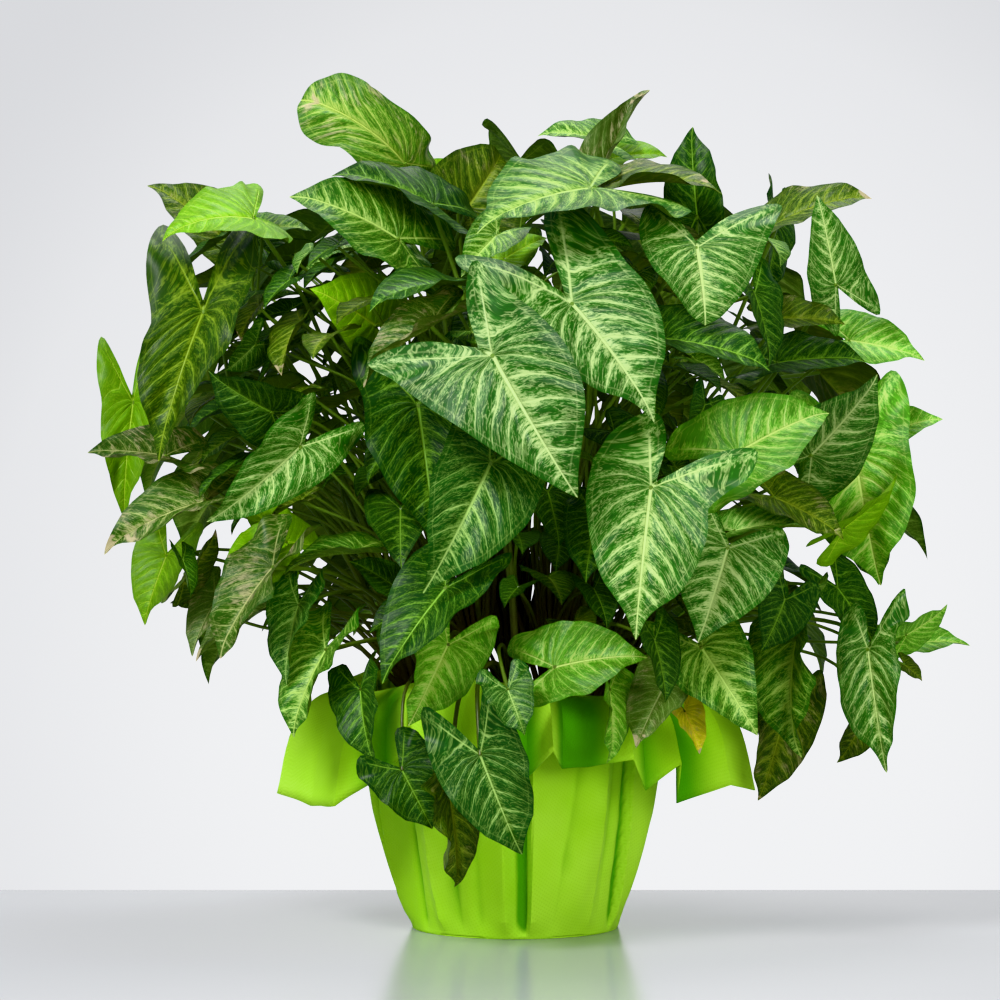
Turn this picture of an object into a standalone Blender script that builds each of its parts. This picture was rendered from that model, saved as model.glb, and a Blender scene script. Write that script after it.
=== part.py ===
"""Arrowhead plant (Syngonium podophyllum) in a nursery pot inside a square of pleated fabric.

Metres, +Z up, front of the plant towards -Y. The origin is the centre of the flat underside of the
wrapped pot. The rows of FRONT_LEAVES place each leaf as it is seen from the front, in half
millimetres: junction of blade and petiole, tip, and the depth of both.
"""

import math
import random

import bmesh
import bpy
from mathutils import Vector
from mathutils.bvhtree import BVHTree
from mathutils.geometry import delaunay_2d_cdt

MM = 0.001
CLEAR = 0.3 * MM                 # gap between pieces that touch

# Pot, soil and fabric
SEGMENTS = 36
POT_FLOOR_Z = 1.1 * MM
POT_RIM_Z = 115.0 * MM
POT_BASE_R = 50.0 * MM
POT_TOP_R = 69.5 * MM
POT_WALL = 1.4 * MM
POT_LIP = 2.0 * MM               # how far the rolled rim stands out
POT_LIP_HEIGHT = 9.0 * MM
SOIL_TOP_Z = 104.0 * MM
FABRIC = 0.8 * MM
PLEATS = 7
PLEAT_DEPTH = 8.0 * MM
WALL_RINGS = (                   # height, share of the pleat depth, slack of the cloth off the pot
    (26.0 * MM, 0.6, 1.6 * MM), (58.0 * MM, 0.9, 2.6 * MM), (88.0 * MM, 1.0, 2.0 * MM),
)
BASE_RING_SHARE = 0.45           # of the pot's base radius
BASE_REACH = 1.0 * MM            # the flat base reaches this far past the pot's
BASE_CURL_Z = 3.2 * MM
BASE_CURL_SLACK = 0.5 * MM
COLLAR_TURNS = ((0.28, 0.02), (0.49, 0.31), (0.58, 0.82))  # out and down, shares of the collar's length
COLLAR_RUFFLE = 5.0 * MM
COLLAR_SHORT = 37.0 * MM
COLLAR_CORNERS = (               # azimuth of each corner of the square sheet and the collar's length there
    (194.0, 66.0 * MM), (342.0, 64.0 * MM), (80.0, 60.0 * MM), (262.0, 45.0 * MM),
)
CORNER_SPREAD = 48.0             # degrees from a corner to where the collar is short again
CREST_Z = 121.0 * MM
CREST_R = 75.5 * MM
CREST_WAVE = 5.0 * MM            # rise and fall of the crest round the pot
CREST_RIDGE = 3.5 * MM           # how far the pleats stand out at the crest
NECK_IN = 1.2 * MM
NECK_DOWN = 12.0 * MM

# Crowns: the short stems that stand in the soil
STEM_R = 4.6 * MM
STEM_FOOT_Z = 78.0 * MM
STEM_TOP_Z = 122.0 * MM
STEM_SIDES = 6
CROWN_RINGS = ((1, 0.0, 0.0), (5, 27.0 * MM, 18.0), (8, 49.0 * MM, 0.0))

GOLDEN_ANGLE = math.radians(137.5)
ROOT_R = 1.9 * MM                # petioles start this far off the stem's axis
ROOT_Z = 109.0 * MM
ROOT_STEP = 2.0 * MM

# Leaves
BLADE_THICKNESS = 0.9 * MM
HANGING = 12.0 * MM              # junctions lower than this above the collar hang in front of it
PETIOLE_R = 1.35 * MM
PETIOLE_R_SMALL = 1.05 * MM
PETIOLE_POINTS = 5               # one fewer below the large leaves
LARGE_LEAF = 60.0 * MM           # midribs from here up get the full outline
SMALL_LEAF = 40.0 * MM           # and those under this the plainest
TEST_BLADE = 1.3 * MM            # half thickness that a blade is given while it is cleared of others
TEST_PETIOLE = 0.7 * MM          # added to a petiole's radius while it is cleared
SEED = 20417

# The front view: half a millimetre a unit, from an eye 1.67 m in front
VIEW_UNIT = 0.5 * MM
VIEW_AXIS = 515.0
VIEW_BASE = 926.0
EYE = Vector((-0.0075, -1.67, 0.213))

# How a blade is bent, for a midrib of 1
SADDLE = 0.04                    # the fold along the midrib is rounded over this much
FOLD_REACH = 4.0                 # the fold is whole a quarter of a midrib out
EDGE_WAVE = 0.020
EDGE_WAVES = 5.0
WAVE_REACH = 0.6
SAG = 0.16                       # both halves droop towards the margin
BLUNT_SPREAD = 2.2
BLUNT_CURL = 0.25

# Petioles
BACK_LEAN = 60.0 * MM            # longest reach of the bend under a blade
FIRST_RISE = 0.62                # share of the span that a petiole rises before it bends
CLEAR_OF_CREST = 26.0 * MM       # petioles pass over the crest of the fabric by this much
INTO_BLADE = 0.25 * MM
CROWNS_TRIED = 3

# Outline of the right half of a blade, from tip to sinus, for a midrib of 1: across, along
TIP = (0.0, 1.0)
SINUS = (0.0, -0.06)
HALF_OUTLINE = (
    (0.11, 0.86), (0.33, 0.63), (0.48, 0.30), (0.475, -0.02),
    (0.53, -0.33), (0.42, -0.60), (0.19, -0.42),
)
HALF_OUTLINE_MID = ((0.24, 0.72), (0.47, 0.24), (0.50, -0.30), (0.38, -0.58), (0.17, -0.36))
HALF_OUTLINE_SMALL = ((0.30, 0.62), (0.48, 0.12), (0.50, -0.40), (0.28, -0.56))
RIB_POINTS = ((0.0, 0.0), (0.0, 0.34), (0.0, 0.68), (0.32, -0.32), (-0.32, -0.32))
RIB_POINTS_MID = ((0.0, 0.0), (0.0, 0.48), (0.28, -0.28), (-0.28, -0.28))
RIB_POINTS_SMALL = ((0.0, 0.0), (0.0, 0.46))

# name, junction, tip, depth of junction and tip in mm, roll in degrees, width, fold, bend
# Roll 0 turns the upper face to the front, plus turns it to the right or up, minus to the left or down.
FRONT_LEAVES = (
    ("centre_large", (492, 355), (577, 498), -150, -170, -6, 1.06, 14, 0.5),
    ("upper_pale", (572, 303), (657, 420), -126, -146, 22, 0.98, 18, 0.5),
    ("right_large", (651, 487), (635, 640), -138, -152, -8, 0.84, 14, 0.4),
    ("low_right", (728, 548), (699, 642), -114, -134, 4, 1.10, 14, 0.4),
    ("young_right", (735, 530), (806, 523), -104, -112, 58, 0.80, 20, 0.3),
    ("top_right_large", (697, 247), (706, 325), -96, -106, 8, 1.40, 12, 0.5),
    ("hang_front", (480, 755), (522, 857), -128, -122, -10, 0.86, 18, 0.3),
    ("hang_left", (402, 770), (433, 830), -108, -108, 4, 1.10, 20, 0.4),
    ("hang_brown", (450, 797), (457, 890), -108, -94, 30, 0.60, 22, 0.4),
    ("bottom_light", (555, 667), (648, 655), -118, -126, 36, 1.00, 16, 0.5),
    ("bottom_bright", (448, 645), (409, 726), -112, -126, 8, 0.95, 26, 0.3),
    ("bottom_mid_right", (702, 648), (758, 735), -106, -124, 4, 0.86, 18, 0.4),
    ("top_olive", (601, 188), (724, 188), -70, -90, 66, 0.80, 14, 0.6),
    ("top_wide", (590, 187), (475, 228), -56, -88, 50, 1.05, 12, 0.5),
    ("curled_tan", (430, 325), (360, 385), -118, -126, -56, 0.72, 34, 0.6),
    ("low_right_curly", (795, 640), (797, 759), -74, -84, -58, 0.84, 30, 0.5),
    ("left_tall", (203, 311), (156, 461), -58, -78, -12, 0.56, 16, 0.5),
    ("left_dark", (418, 405), (436, 547), -108, -132, 6, 0.80, 18, 0.5),
    ("left_blue", (491, 463), (424, 594), -104, -124, 10, 0.80, 20, 0.5),
    ("left_mid_pale_tip", (300, 447), (207, 524), -96, -108, 20, 0.66, 16, 0.6),
    ("far_right_bright", (868, 650), (886, 774), -62, -72, -14, 0.54, 18, 0.4),
    ("right_high", (812, 455), (880, 376), -66, -74, 30, 1.00, 16, 0.3),
    ("right_mid_pale", (738, 452), (830, 409), -104, -92, 38, 1.10, 18, 0.4),
    ("top_round", (405, 163), (283, 92), -28, -40, 26, 0.66, 8, 1.3),
    ("top_pale", (398, 238), (290, 192), -72, -82, 46, 0.98, 14, 0.5),
    ("top_dark_a", (432, 203), (331, 171), -26, -34, 62, 0.92, 16, 0.5),
    ("dark_bright_rib", (665, 338), (772, 366), -98, -104, 60, 0.95, 22, 0.4),
    ("low_dark_rib", (445, 588), (380, 682), -98, -116, -28, 0.80, 20, 0.4),
    ("low_dark_left", (393, 585), (350, 560), -78, -84, 40, 0.90, 16, 0.3),
    ("low_dark_centre", (453, 590), (490, 556), -80, -86, 45, 0.90, 16, 0.3),
    ("bottom_folded", (508, 690), (525, 735), -112, -120, 10, 1.15, 26, 0.3),
    ("bottom_narrow", (610, 690), (610, 764), -112, -118, 62, 0.90, 22, 0.3),
    ("bottom_dark_small", (655, 640), (667, 703), -108, -116, 40, 0.85, 20, 0.3),
    ("bottom_grey", (662, 690), (635, 748), -108, -116, -20, 1.00, 22, 0.3),
    ("bottom_yellowed", (685, 712), (701, 754), -106, -110, 30, 0.90, 24, 0.3),
    ("left_low_dark", (360, 690), (373, 765), -92, -104, -38, 0.90, 22, 0.4),
    ("left_low_two_tone", (325, 650), (290, 737), -84, -94, -52, 1.00, 26, 0.4),
    ("left_dark_blue", (298, 605), (284, 684), -78, -90, -34, 0.80, 22, 0.4),
    ("left_yellow_veins", (259, 562), (222, 612), -74, -86, -16, 1.00, 20, 0.3),
    ("left_lime", (285, 541), (240, 500), -62, -66, 34, 1.00, 14, 0.3),
    ("left_folded_tan", (272, 567), (216, 657), -88, -98, -52, 0.80, 28, 0.4),
    ("left_under_a", (268, 605), (193, 659), -62, -72, -52, 0.72, 24, 0.4),
    ("left_under_b", (215, 600), (190, 656), -46, -54, -40, 0.80, 24, 0.3),
    ("left_backlit", (133, 402), (123, 520), -14, -22, -12, 0.48, 20, 0.4),
    ("left_folded_tip", (165, 455), (87, 450), -58, -64, 44, 0.80, 30, 0.3),
    ("left_sweep", (205, 500), (101, 551), -50, -62, 50, 0.66, 26, 0.5),
    ("left_edge_on", (166, 556), (143, 625), -20, -28, -24, 0.95, 20, 0.3),
    ("left_tan", (203, 605), (170, 602), -20, -26, 50, 0.80, 22, 0.3),
    ("left_rolled", (185, 577), (218, 530), -42, -44, 66, 0.80, 32, 0.3),
    ("left_narrow_dark", (183, 560), (192, 597), -66, -72, 56, 0.80, 20, 0.3),
    ("left_mid_dark", (271, 412), (207, 372), -78, -86, -28, 1.05, 18, 0.4),
    ("top_left_lime", (253, 218), (160, 238), -46, -64, 48, 1.00, 12, 0.9),
    ("top_left_olive", (225, 240), (148, 182), 22, 16, 44, 0.90, 14, 0.5),
    ("top_edge_on", (468, 207), (503, 151), -70, -36, 14, 1.10, 20, 0.5),
    ("top_bright_small", (455, 180), (420, 160), 6, 2, 44, 1.00, 16, 0.3),
    ("top_folded_pale", (597, 180), (647, 85), -64, -44, -40, 0.36, 30, 0.3),
    ("top_back_a", (605, 140), (537, 133), 10, 6, 54, 0.92, 14, 0.5),
    ("top_back_b", (612, 158), (668, 155), -6, -12, 50, 1.00, 14, 0.5),
    ("top_right_dark", (697, 215), (691, 125), -42, -36, -24, 0.72, 18, 0.3),
    ("upper_left_lit", (375, 325), (312, 288), -66, -92, 20, 1.15, 12, 0.5),
    ("upper_left_edge", (395, 258), (320, 248), -40, -48, 68, 0.85, 16, 0.4),
    ("left_edge_a", (218, 322), (302, 290), -30, -20, 68, 0.85, 18, 0.4),
    ("left_back_a", (255, 345), (225, 372), -42, -46, 40, 1.10, 16, 0.3),
    ("left_back_b", (262, 228), (313, 229), -2, 6, 56, 0.95, 16, 0.4),
    ("left_back_c", (262, 247), (302, 281), -16, -12, 44, 0.85, 16, 0.3),
    ("behind_lime", (505, 258), (548, 236), -58, -52, 40, 1.10, 16, 0.3),
    ("centre_dark_a", (548, 492), (560, 547), -86, -98, 20, 1.10, 18, 0.4),
    ("centre_dark_b", (596, 520), (585, 582), -80, -92, -20, 1.00, 18, 0.4),
    ("right_dark_small", (705, 405), (690, 437), -84, -90, 30, 1.20, 18, 0.3),
    ("top_far_right", (778, 222), (872, 194), -12, -18, 62, 0.80, 16, 0.5),
    ("right_top_lit", (836, 284), (818, 195), -34, -42, 6, 0.66, 14, 0.3),
    ("right_narrow_a", (775, 222), (765, 296), -8, -16, 60, 0.85, 18, 0.3),
    ("right_cluster_a", (755, 293), (772, 366), -56, -66, 48, 0.85, 18, 0.3),
    ("right_cluster_b", (780, 318), (846, 322), -40, -48, 50, 0.90, 18, 0.3),
    ("right_cluster_c", (778, 362), (866, 358), -28, -34, 56, 0.85, 18, 0.3),
    ("right_light", (850, 340), (926, 358), -22, -28, 42, 1.00, 14, 0.3),
    ("right_edge_light", (865, 440), (943, 416), -18, -22, 46, 0.85, 14, 0.3),
    ("right_pale_big", (855, 455), (880, 587), -26, -34, -16, 0.92, 14, 0.4),
    ("right_lime_narrow", (845, 528), (900, 476), -52, -50, 56, 0.80, 18, 0.3),
    ("right_variegated", (860, 528), (880, 585), -48, -54, 20, 0.95, 18, 0.3),
    ("right_olive", (775, 497), (846, 538), -86, -92, 44, 0.80, 18, 0.4),
    ("right_low_dark", (838, 588), (877, 647), -46, -52, 26, 0.80, 18, 0.3),
    ("far_right_behind", (866, 716), (838, 764), -40, -44, 30, 0.90, 18, 0.3),
    ("far_right_a", (907, 635), (949, 605), -40, -42, 40, 0.85, 16, 0.3),
    ("far_right_b", (900, 643), (971, 643), -30, -34, 50, 0.72, 16, 0.3),
    ("far_right_c", (905, 665), (923, 681), -52, -54, 40, 0.95, 16, 0.3),
    ("low_right_back", (785, 600), (762, 652), -82, -88, 20, 1.15, 18, 0.3),
    ("low_right_olive", (785, 712), (759, 802), -52, -58, 12, 0.80, 20, 0.4),
)

# Blades with uneven lobes: skew along the midrib, length of the lobes, sway of the lobes across
LOBES = {
    "centre_large": (0.31, 0.92, 0.40), "upper_pale": (0.0, 1.55, -0.15),
    "right_large": (-0.30, 0.70, -0.62), "left_tall": (0.42, 1.20, 0.72),
    "low_right": (-0.12, 0.80, -0.05), "top_right_large": (0.10, 1.15, -0.50),
    "top_left_lime": (0.10, 0.80, 0.60), "left_backlit": (0.10, 1.00, 0.60),
    "left_mid_pale_tip": (0.30, 0.90, 0.0), "right_top_lit": (0.20, 0.90, 0.45),
    "far_right_bright": (0.0, 0.70, -0.50), "hang_brown": (0.0, 0.60, 0.0),
    "top_round": (0.0, 0.60, 0.0), "left_low_dark": (0.0, 0.80, 0.0), "hang_left": (0.2, 0.9, 0.2),
}
BLUNT = ("top_round",)           # the tip is curled under, so the blade ends round

# Leaves of the sides and the back, which the front view hides: rows of azimuths round the canopy
BACK_ROWS = (
    # height of the junction, radius across, radius in depth, azimuths from +X, midrib
    (165.0, 150.0, 122.0, (18, 66, 112, 160), 56.0),
    (225.0, 172.0, 132.0, (30, 58, 88, 120, 150), 66.0),
    (285.0, 176.0, 136.0, (14, 50, 84, 118, 150), 74.0),
    (340.0, 150.0, 118.0, (32, 70, 104, 140), 70.0),
    (362.0, 92.0, 84.0, (40, 90, 140), 62.0),
    (372.0, 26.0, 20.0, (80,), 56.0),
)
BACK_ROLL = 16.0
BACK_SPREAD = 8.0 * MM
BACK_TRIES = 14
BACK_STEP_IN = 1.5 * MM          # each new try stands this much further in
BACK_TURN = 9.0
BACK_LIFT = 12.0
TOP_ROWS_FROM = 350.0            # millimetres; leaves from here up droop less


def start_scene():
    for old in list(bpy.data.objects):
        bpy.data.objects.remove(old, do_unlink=True)
    made = bpy.data.collections.new("arrowhead_plant")
    bpy.context.scene.collection.children.link(made)
    helpers = bpy.data.collections.new("arrowhead_plant_cutters")
    bpy.context.scene.collection.children.link(helpers)
    return made, helpers


def material(name, colour, roughness):
    made = bpy.data.materials.new(name)
    made.use_nodes = True
    shader = made.node_tree.nodes["Principled BSDF"]
    shader.inputs["Base Color"].default_value = (*colour, 1.0)
    shader.inputs["Roughness"].default_value = roughness
    shader.inputs["Metallic"].default_value = 0.0
    made.diffuse_color = (*colour, 1.0)
    return made


def add_mesh(name, points, faces, home, paint=None):
    mesh = bpy.data.meshes.new(name)
    mesh.from_pydata([tuple(p) for p in points], [], faces)
    mesh.update()
    if paint:
        mesh.materials.append(paint)
    made = bpy.data.objects.new(name, mesh)
    home.objects.link(made)
    return made


def evaluated_copy(source, name, home):
    """A plain mesh object of what the source looks like with its modifiers, in world space."""
    graph = bpy.context.evaluated_depsgraph_get()
    mesh = bpy.data.meshes.new_from_object(source.evaluated_get(graph))
    made = bpy.data.objects.new(name, mesh)
    made.matrix_world = source.matrix_world
    home.objects.link(made)
    return made


def weld(mesh, distance=1e-6):
    shape = bmesh.new()
    shape.from_mesh(mesh)
    bmesh.ops.remove_doubles(shape, verts=shape.verts, dist=distance)
    bmesh.ops.recalc_face_normals(shape, faces=shape.faces)
    shape.to_mesh(mesh)
    shape.free()


# The pot, turned from its profile

def pot_radius(z):
    share = (z - POT_FLOOR_Z) / (POT_RIM_Z - POT_FLOOR_Z)
    return POT_BASE_R + (POT_TOP_R - POT_BASE_R) * share


def make_pot(home, paint):
    floor_top = POT_FLOOR_Z + POT_WALL
    lip_z = POT_RIM_Z - POT_LIP_HEIGHT
    profile = (
        (0.0, floor_top),
        (pot_radius(floor_top) - POT_WALL, floor_top),
        (POT_TOP_R - POT_WALL, POT_RIM_Z),
        (POT_TOP_R + POT_LIP, POT_RIM_Z),
        (POT_TOP_R + POT_LIP, lip_z),
        (pot_radius(lip_z), lip_z - POT_LIP),
        (POT_BASE_R, POT_FLOOR_Z),
        (0.0, POT_FLOOR_Z),
    )
    mesh = bpy.data.meshes.new("nursery_pot")
    edges = [(i, i + 1) for i in range(len(profile) - 1)]
    mesh.from_pydata([(r, 0.0, z) for r, z in profile], edges, [])
    mesh.materials.append(paint)
    pot = bpy.data.objects.new("nursery_pot", mesh)
    home.objects.link(pot)
    turn = pot.modifiers.new("turn", "SCREW")
    turn.steps = SEGMENTS
    turn.render_steps = SEGMENTS
    turn.use_merge_vertices = True
    turn.merge_threshold = 1e-5
    turn.use_smooth_shade = True
    return pot


# The soil, with a plain hole for each stem

def make_soil(home, helpers, paint, crowns):
    foot = POT_FLOOR_Z + POT_WALL + CLEAR
    inset = POT_WALL + 2 * CLEAR
    shape = bmesh.new()
    bmesh.ops.create_cone(
        shape, cap_ends=True, segments=SEGMENTS, radius1=pot_radius(foot) - inset,
        radius2=pot_radius(SOIL_TOP_Z) - inset, depth=SOIL_TOP_Z - foot,
    )
    bmesh.ops.translate(shape, verts=shape.verts, vec=(0.0, 0.0, (SOIL_TOP_Z + foot) / 2))
    mesh = bpy.data.meshes.new("potting_soil")
    shape.to_mesh(mesh)
    shape.free()
    mesh.materials.append(paint)
    soil = bpy.data.objects.new("potting_soil", mesh)
    home.objects.link(soil)

    hole_foot = STEM_FOOT_Z - CLEAR
    hole_top = SOIL_TOP_Z + 5 * MM
    shape = bmesh.new()
    for x, y in crowns:
        hole = bmesh.ops.create_cone(
            shape, cap_ends=True, segments=STEM_SIDES, radius1=STEM_R + 1.5 * CLEAR,
            radius2=STEM_R + 1.5 * CLEAR, depth=hole_top - hole_foot,
        )
        bmesh.ops.translate(shape, verts=hole["verts"], vec=(x, y, (hole_top + hole_foot) / 2))
    mesh = bpy.data.meshes.new("stem_holes")
    shape.to_mesh(mesh)
    shape.free()
    cutter = bpy.data.objects.new("stem_holes", mesh)
    helpers.objects.link(cutter)
    cutter.hide_render = True
    cutter.display_type = "WIRE"
    cut = soil.modifiers.new("stem_holes", "BOOLEAN")
    cut.operation = "DIFFERENCE"
    cut.solver = "EXACT"
    cut.object = cutter
    return soil


# The fabric: a square sheet drawn up round the pot, pleated, with its edges turned out and down

def pleat(angle, phase=-2.8):
    """0 in a valley and 1 on a ridge of the fabric's pleats."""
    wave = math.sin(PLEATS * angle + 0.9 * math.sin(2 * angle + 0.6) + phase)
    return (0.5 + 0.5 * wave) ** 1.5


def collar_length(angle):
    """Longer towards each corner of the square sheet."""
    best = COLLAR_SHORT
    for corner, length in COLLAR_CORNERS:
        away = abs((math.degrees(angle) - corner + 180.0) % 360.0 - 180.0)
        near = max(0.0, 1.0 - away / CORNER_SPREAD)
        best = max(best, COLLAR_SHORT + (length - COLLAR_SHORT) * near ** 1.15)
    return best


def fabric_rings(angle):
    """Radius and height of the sheet's middle surface, from the centre of its base to its edge."""
    flat_z = FABRIC / 2
    ridge = pleat(angle)
    gap = CLEAR + FABRIC * 0.75
    rings = [(BASE_RING_SHARE * POT_BASE_R, flat_z), (POT_BASE_R + BASE_REACH, flat_z)]
    rings.append((pot_radius(4 * MM) + gap + BASE_CURL_SLACK, BASE_CURL_Z))
    for z, share, slack in WALL_RINGS:
        rings.append((pot_radius(z) + gap + slack + PLEAT_DEPTH * share * ridge, z))
    crest_z = CREST_Z + CREST_WAVE * math.sin(3 * angle + 1.0)
    crest_r = CREST_R + CREST_RIDGE * ridge
    rings.append((crest_r - NECK_IN, crest_z - NECK_DOWN))
    rings.append((crest_r, crest_z))
    length = collar_length(angle)
    ruffle = COLLAR_RUFFLE * math.sin(PLEATS * angle + 2.2)
    for out, down in COLLAR_TURNS:
        rings.append((crest_r + out * length + 0.4 * ruffle * down, crest_z - down * length + ruffle * out))
    return rings


def make_wrap(home, paint):
    columns = [fabric_rings(math.tau * i / SEGMENTS) for i in range(SEGMENTS)]
    count = len(columns[0])
    points = [Vector((0.0, 0.0, FABRIC / 2))]
    for i, column in enumerate(columns):
        angle = math.tau * i / SEGMENTS
        points += [Vector((r * math.cos(angle), r * math.sin(angle), z)) for r, z in column]
    faces = []
    for i in range(SEGMENTS):
        here = 1 + i * count
        there = 1 + (i + 1) % SEGMENTS * count
        faces.append((0, there, here))
        for k in range(count - 1):
            faces.append((here + k, there + k, there + k + 1, here + k + 1))
    wrap = add_mesh("pot_wrap", points, faces, home, paint)
    shape = bmesh.new()
    shape.from_mesh(wrap.data)
    bmesh.ops.triangulate(shape, faces=shape.faces)
    shape.to_mesh(wrap.data)
    shape.free()
    wrap.data.shade_smooth()
    thick = wrap.modifiers.new("fabric", "SOLIDIFY")
    thick.thickness = FABRIC
    thick.offset = 0.0
    thick.use_even_offset = False
    return wrap


# Leaves

def seen_at(spot, depth):
    """The point at this depth that lies on the line of sight of the front view's spot."""
    flat = Vector(((spot[0] - VIEW_AXIS) * VIEW_UNIT, 0.0, (VIEW_BASE - spot[1]) * VIEW_UNIT))
    share = (depth - EYE.y) / -EYE.y
    return EYE + (flat - EYE) * share


class Leaf:
    def __init__(self, name, junction, tip, roll, width, fold, bend):
        self.name = name
        self.junction = junction
        self.length = (tip - junction).length
        self.along = (tip - junction).normalized()
        self.width = width
        self.fold = math.radians(fold)
        self.bend = bend
        front = Vector((0.0, -1.0, 0.0))
        if abs(self.along.y) > 0.92:
            front = Vector((0.0, 0.0, 1.0))
        facing = (front - self.along * front.dot(self.along)).normalized()
        side = self.along.cross(facing)
        if side.dot(Vector((1.0, 0.0, 0.6))) < 0:
            side = -side
        turn = math.radians(roll)
        self.normal = (facing * math.cos(turn) + side * math.sin(turn)).normalized()
        self.across = self.along.cross(self.normal)
        self.skew, self.lobe, self.sway = LOBES.get(name, (0.0, 1.0, 0.0))
        self.blunt = name in BLUNT
        self.phase = (self.length * 7919 + junction.x * 3571) % 1.0 * math.tau

    def surface(self, x, y):
        """World point of the blade at x across and y along, for a midrib of 1."""
        k = self.bend
        rise = 0.5 * k
        if self.blunt and y > 0.5:
            x *= 1.0 + BLUNT_SPREAD * (y - 0.5)
            y -= BLUNT_CURL * (y - 0.5)
        back = max(0.0, -y)
        y += self.skew * x * (1.0 - max(0.0, y)) - (self.lobe - 1.0) * back
        x += self.sway * back
        arc_y = math.sin(k * y) / k
        arc_z = -(1.0 - math.cos(k * y)) / k
        side = math.hypot(x, SADDLE) - SADDLE
        up = side * math.sin(self.fold)
        out = x * math.cos(self.fold * min(1.0, side * FOLD_REACH))
        reach = min(1.0, math.hypot(x, y) / WAVE_REACH)
        turn = math.sin(EDGE_WAVES * math.atan2(x, y) + self.phase)
        wave = EDGE_WAVE * reach ** 3 * turn * min(1.0, side * 6.0)
        lift = arc_z + up + wave - SAG * side * side
        y_turned = arc_y * math.cos(rise) - lift * math.sin(rise)
        z_turned = arc_y * math.sin(rise) + lift * math.cos(rise)
        chord = 2.0 * math.sin(k / 2) / k
        size = self.length / chord
        return (
            self.junction + self.across * (out * self.width * size)
            + self.along * (y_turned * size) + self.normal * (z_turned * size)
        )

    def small(self):
        return self.length < SMALL_LEAF

    def flat_mesh(self):
        """Outline and rib points of the blade, in its own plane, and the triangles between them."""
        if self.length >= LARGE_LEAF:
            half, ribs = HALF_OUTLINE, RIB_POINTS
        elif self.length >= SMALL_LEAF:
            half, ribs = HALF_OUTLINE_MID, RIB_POINTS_MID
        else:
            half, ribs = HALF_OUTLINE_SMALL, RIB_POINTS_SMALL
        outline = [TIP, *half, SINUS, *((-x, y) for x, y in reversed(half))]
        flat = [Vector(p) for p in (*outline, *ribs)]
        rim = [(i, (i + 1) % len(outline)) for i in range(len(outline))]
        found = delaunay_2d_cdt(flat, rim, [], 1, 1e-7)
        return found[0], [tuple(face) for face in found[2]], len(outline)

    def blade(self):
        flat, faces, _ = self.flat_mesh()
        points = [self.surface(p.x, p.y) for p in flat]
        turned = []
        for a, b, c in faces:
            normal = (points[b] - points[a]).cross(points[c] - points[a])
            turned.append((a, b, c) if normal.dot(self.normal) > 0 else (a, c, b))
        return points, turned

    def petiole_r(self):
        return PETIOLE_R_SMALL if self.small() else PETIOLE_R

    def petiole(self, crown, bow, order):
        """Points of the petiole, from inside the crown's stem to just inside the blade."""
        turn = order * GOLDEN_ANGLE
        root = Vector((
            crown[0] + ROOT_R * math.cos(turn), crown[1] + ROOT_R * math.sin(turn),
            ROOT_Z + ROOT_STEP * (order % 5),
        ))
        end = self.surface(0.0, 0.004) - self.normal * INTO_BLADE
        span = (end - root).length
        out = Vector((end.x - root.x, end.y - root.y, 0.0))
        out = out.normalized() if out.length > 1e-6 else Vector((0.0, -1.0, 0.0))
        away, lift, twist = bow
        side = out.cross(Vector((0.0, 0.0, 1.0)))
        lean = Vector((0.0, 0.0, 1.0)) * (0.62 + lift) + out * (0.10 + away) + side * twist
        first = root + lean * span * FIRST_RISE
        first.z = max(first.z, CREST_Z + CLEAR_OF_CREST)
        back = (-self.normal * 0.85 - self.along * 0.52 + Vector((0.0, 0.0, 0.15))).normalized()
        if end.z < CREST_Z + HANGING:
            back = (-self.along * 0.95 - self.normal * 0.15).normalized()
        second = end + back * min(0.34 * span, BACK_LEAN)
        second.z = max(second.z, 0.5 * (end.z + CREST_Z))
        if end.z < CREST_Z + HANGING:
            second.z = max(second.z, CREST_Z + 2 * HANGING)
        points = []
        count = PETIOLE_POINTS - (self.length < LARGE_LEAF)
        for i in range(count):
            t = i / (count - 1)
            t = t ** 0.92
            s = 1.0 - t
            points.append(
                root * s ** 3 + first * (3 * s * s * t) + second * (3 * s * t * t) + end * t ** 3
            )
        return points


# Keeping leaves clear of one another

def shell_tree(points, faces, half):
    """A search tree of the blade made thicker than it is."""
    normals = [Vector((0.0, 0.0, 0.0)) for _ in points]
    for a, b, c in faces:
        n = (points[b] - points[a]).cross(points[c] - points[a])
        for i in (a, b, c):
            normals[i] += n
    up = [p + n.normalized() * half for p, n in zip(points, normals)]
    down = [p - n.normalized() * half for p, n in zip(points, normals)]
    count = len(points)
    edges = {}
    for face in faces:
        for i in range(3):
            pair = (face[i], face[(i + 1) % 3])
            key = tuple(sorted(pair))
            edges[key] = None if key in edges else pair
    rim = []
    for pair in edges.values():
        if pair:
            a, b = pair
            rim += [(a, b, b + count), (a, b + count, a + count)]
    every = up + down
    tris = [*faces, *((a + count, c + count, b + count) for a, b, c in faces), *rim]
    return every, BVHTree.FromPolygons(every, tris)


def tube_tree(path, radius):
    points = []
    tris = []
    for i, p in enumerate(path):
        ahead = (path[min(i + 1, len(path) - 1)] - path[max(i - 1, 0)]).normalized()
        side = ahead.cross(Vector((0.31, 0.87, 0.38))).normalized()
        up = ahead.cross(side)
        points += [p + side * radius, p + up * radius, p - side * radius, p - up * radius]
    for i in range(len(path) - 1):
        for k in range(4):
            a, b = 4 * i + k, 4 * i + (k + 1) % 4
            tris += [(a, b, b + 4), (a, b + 4, a + 4)]
    tris += [(0, 1, 2), (0, 2, 3)]
    last = 4 * (len(path) - 1)
    tris += [(last, last + 1, last + 2), (last, last + 2, last + 3)]
    return points, BVHTree.FromPolygons(points, tris)


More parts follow.
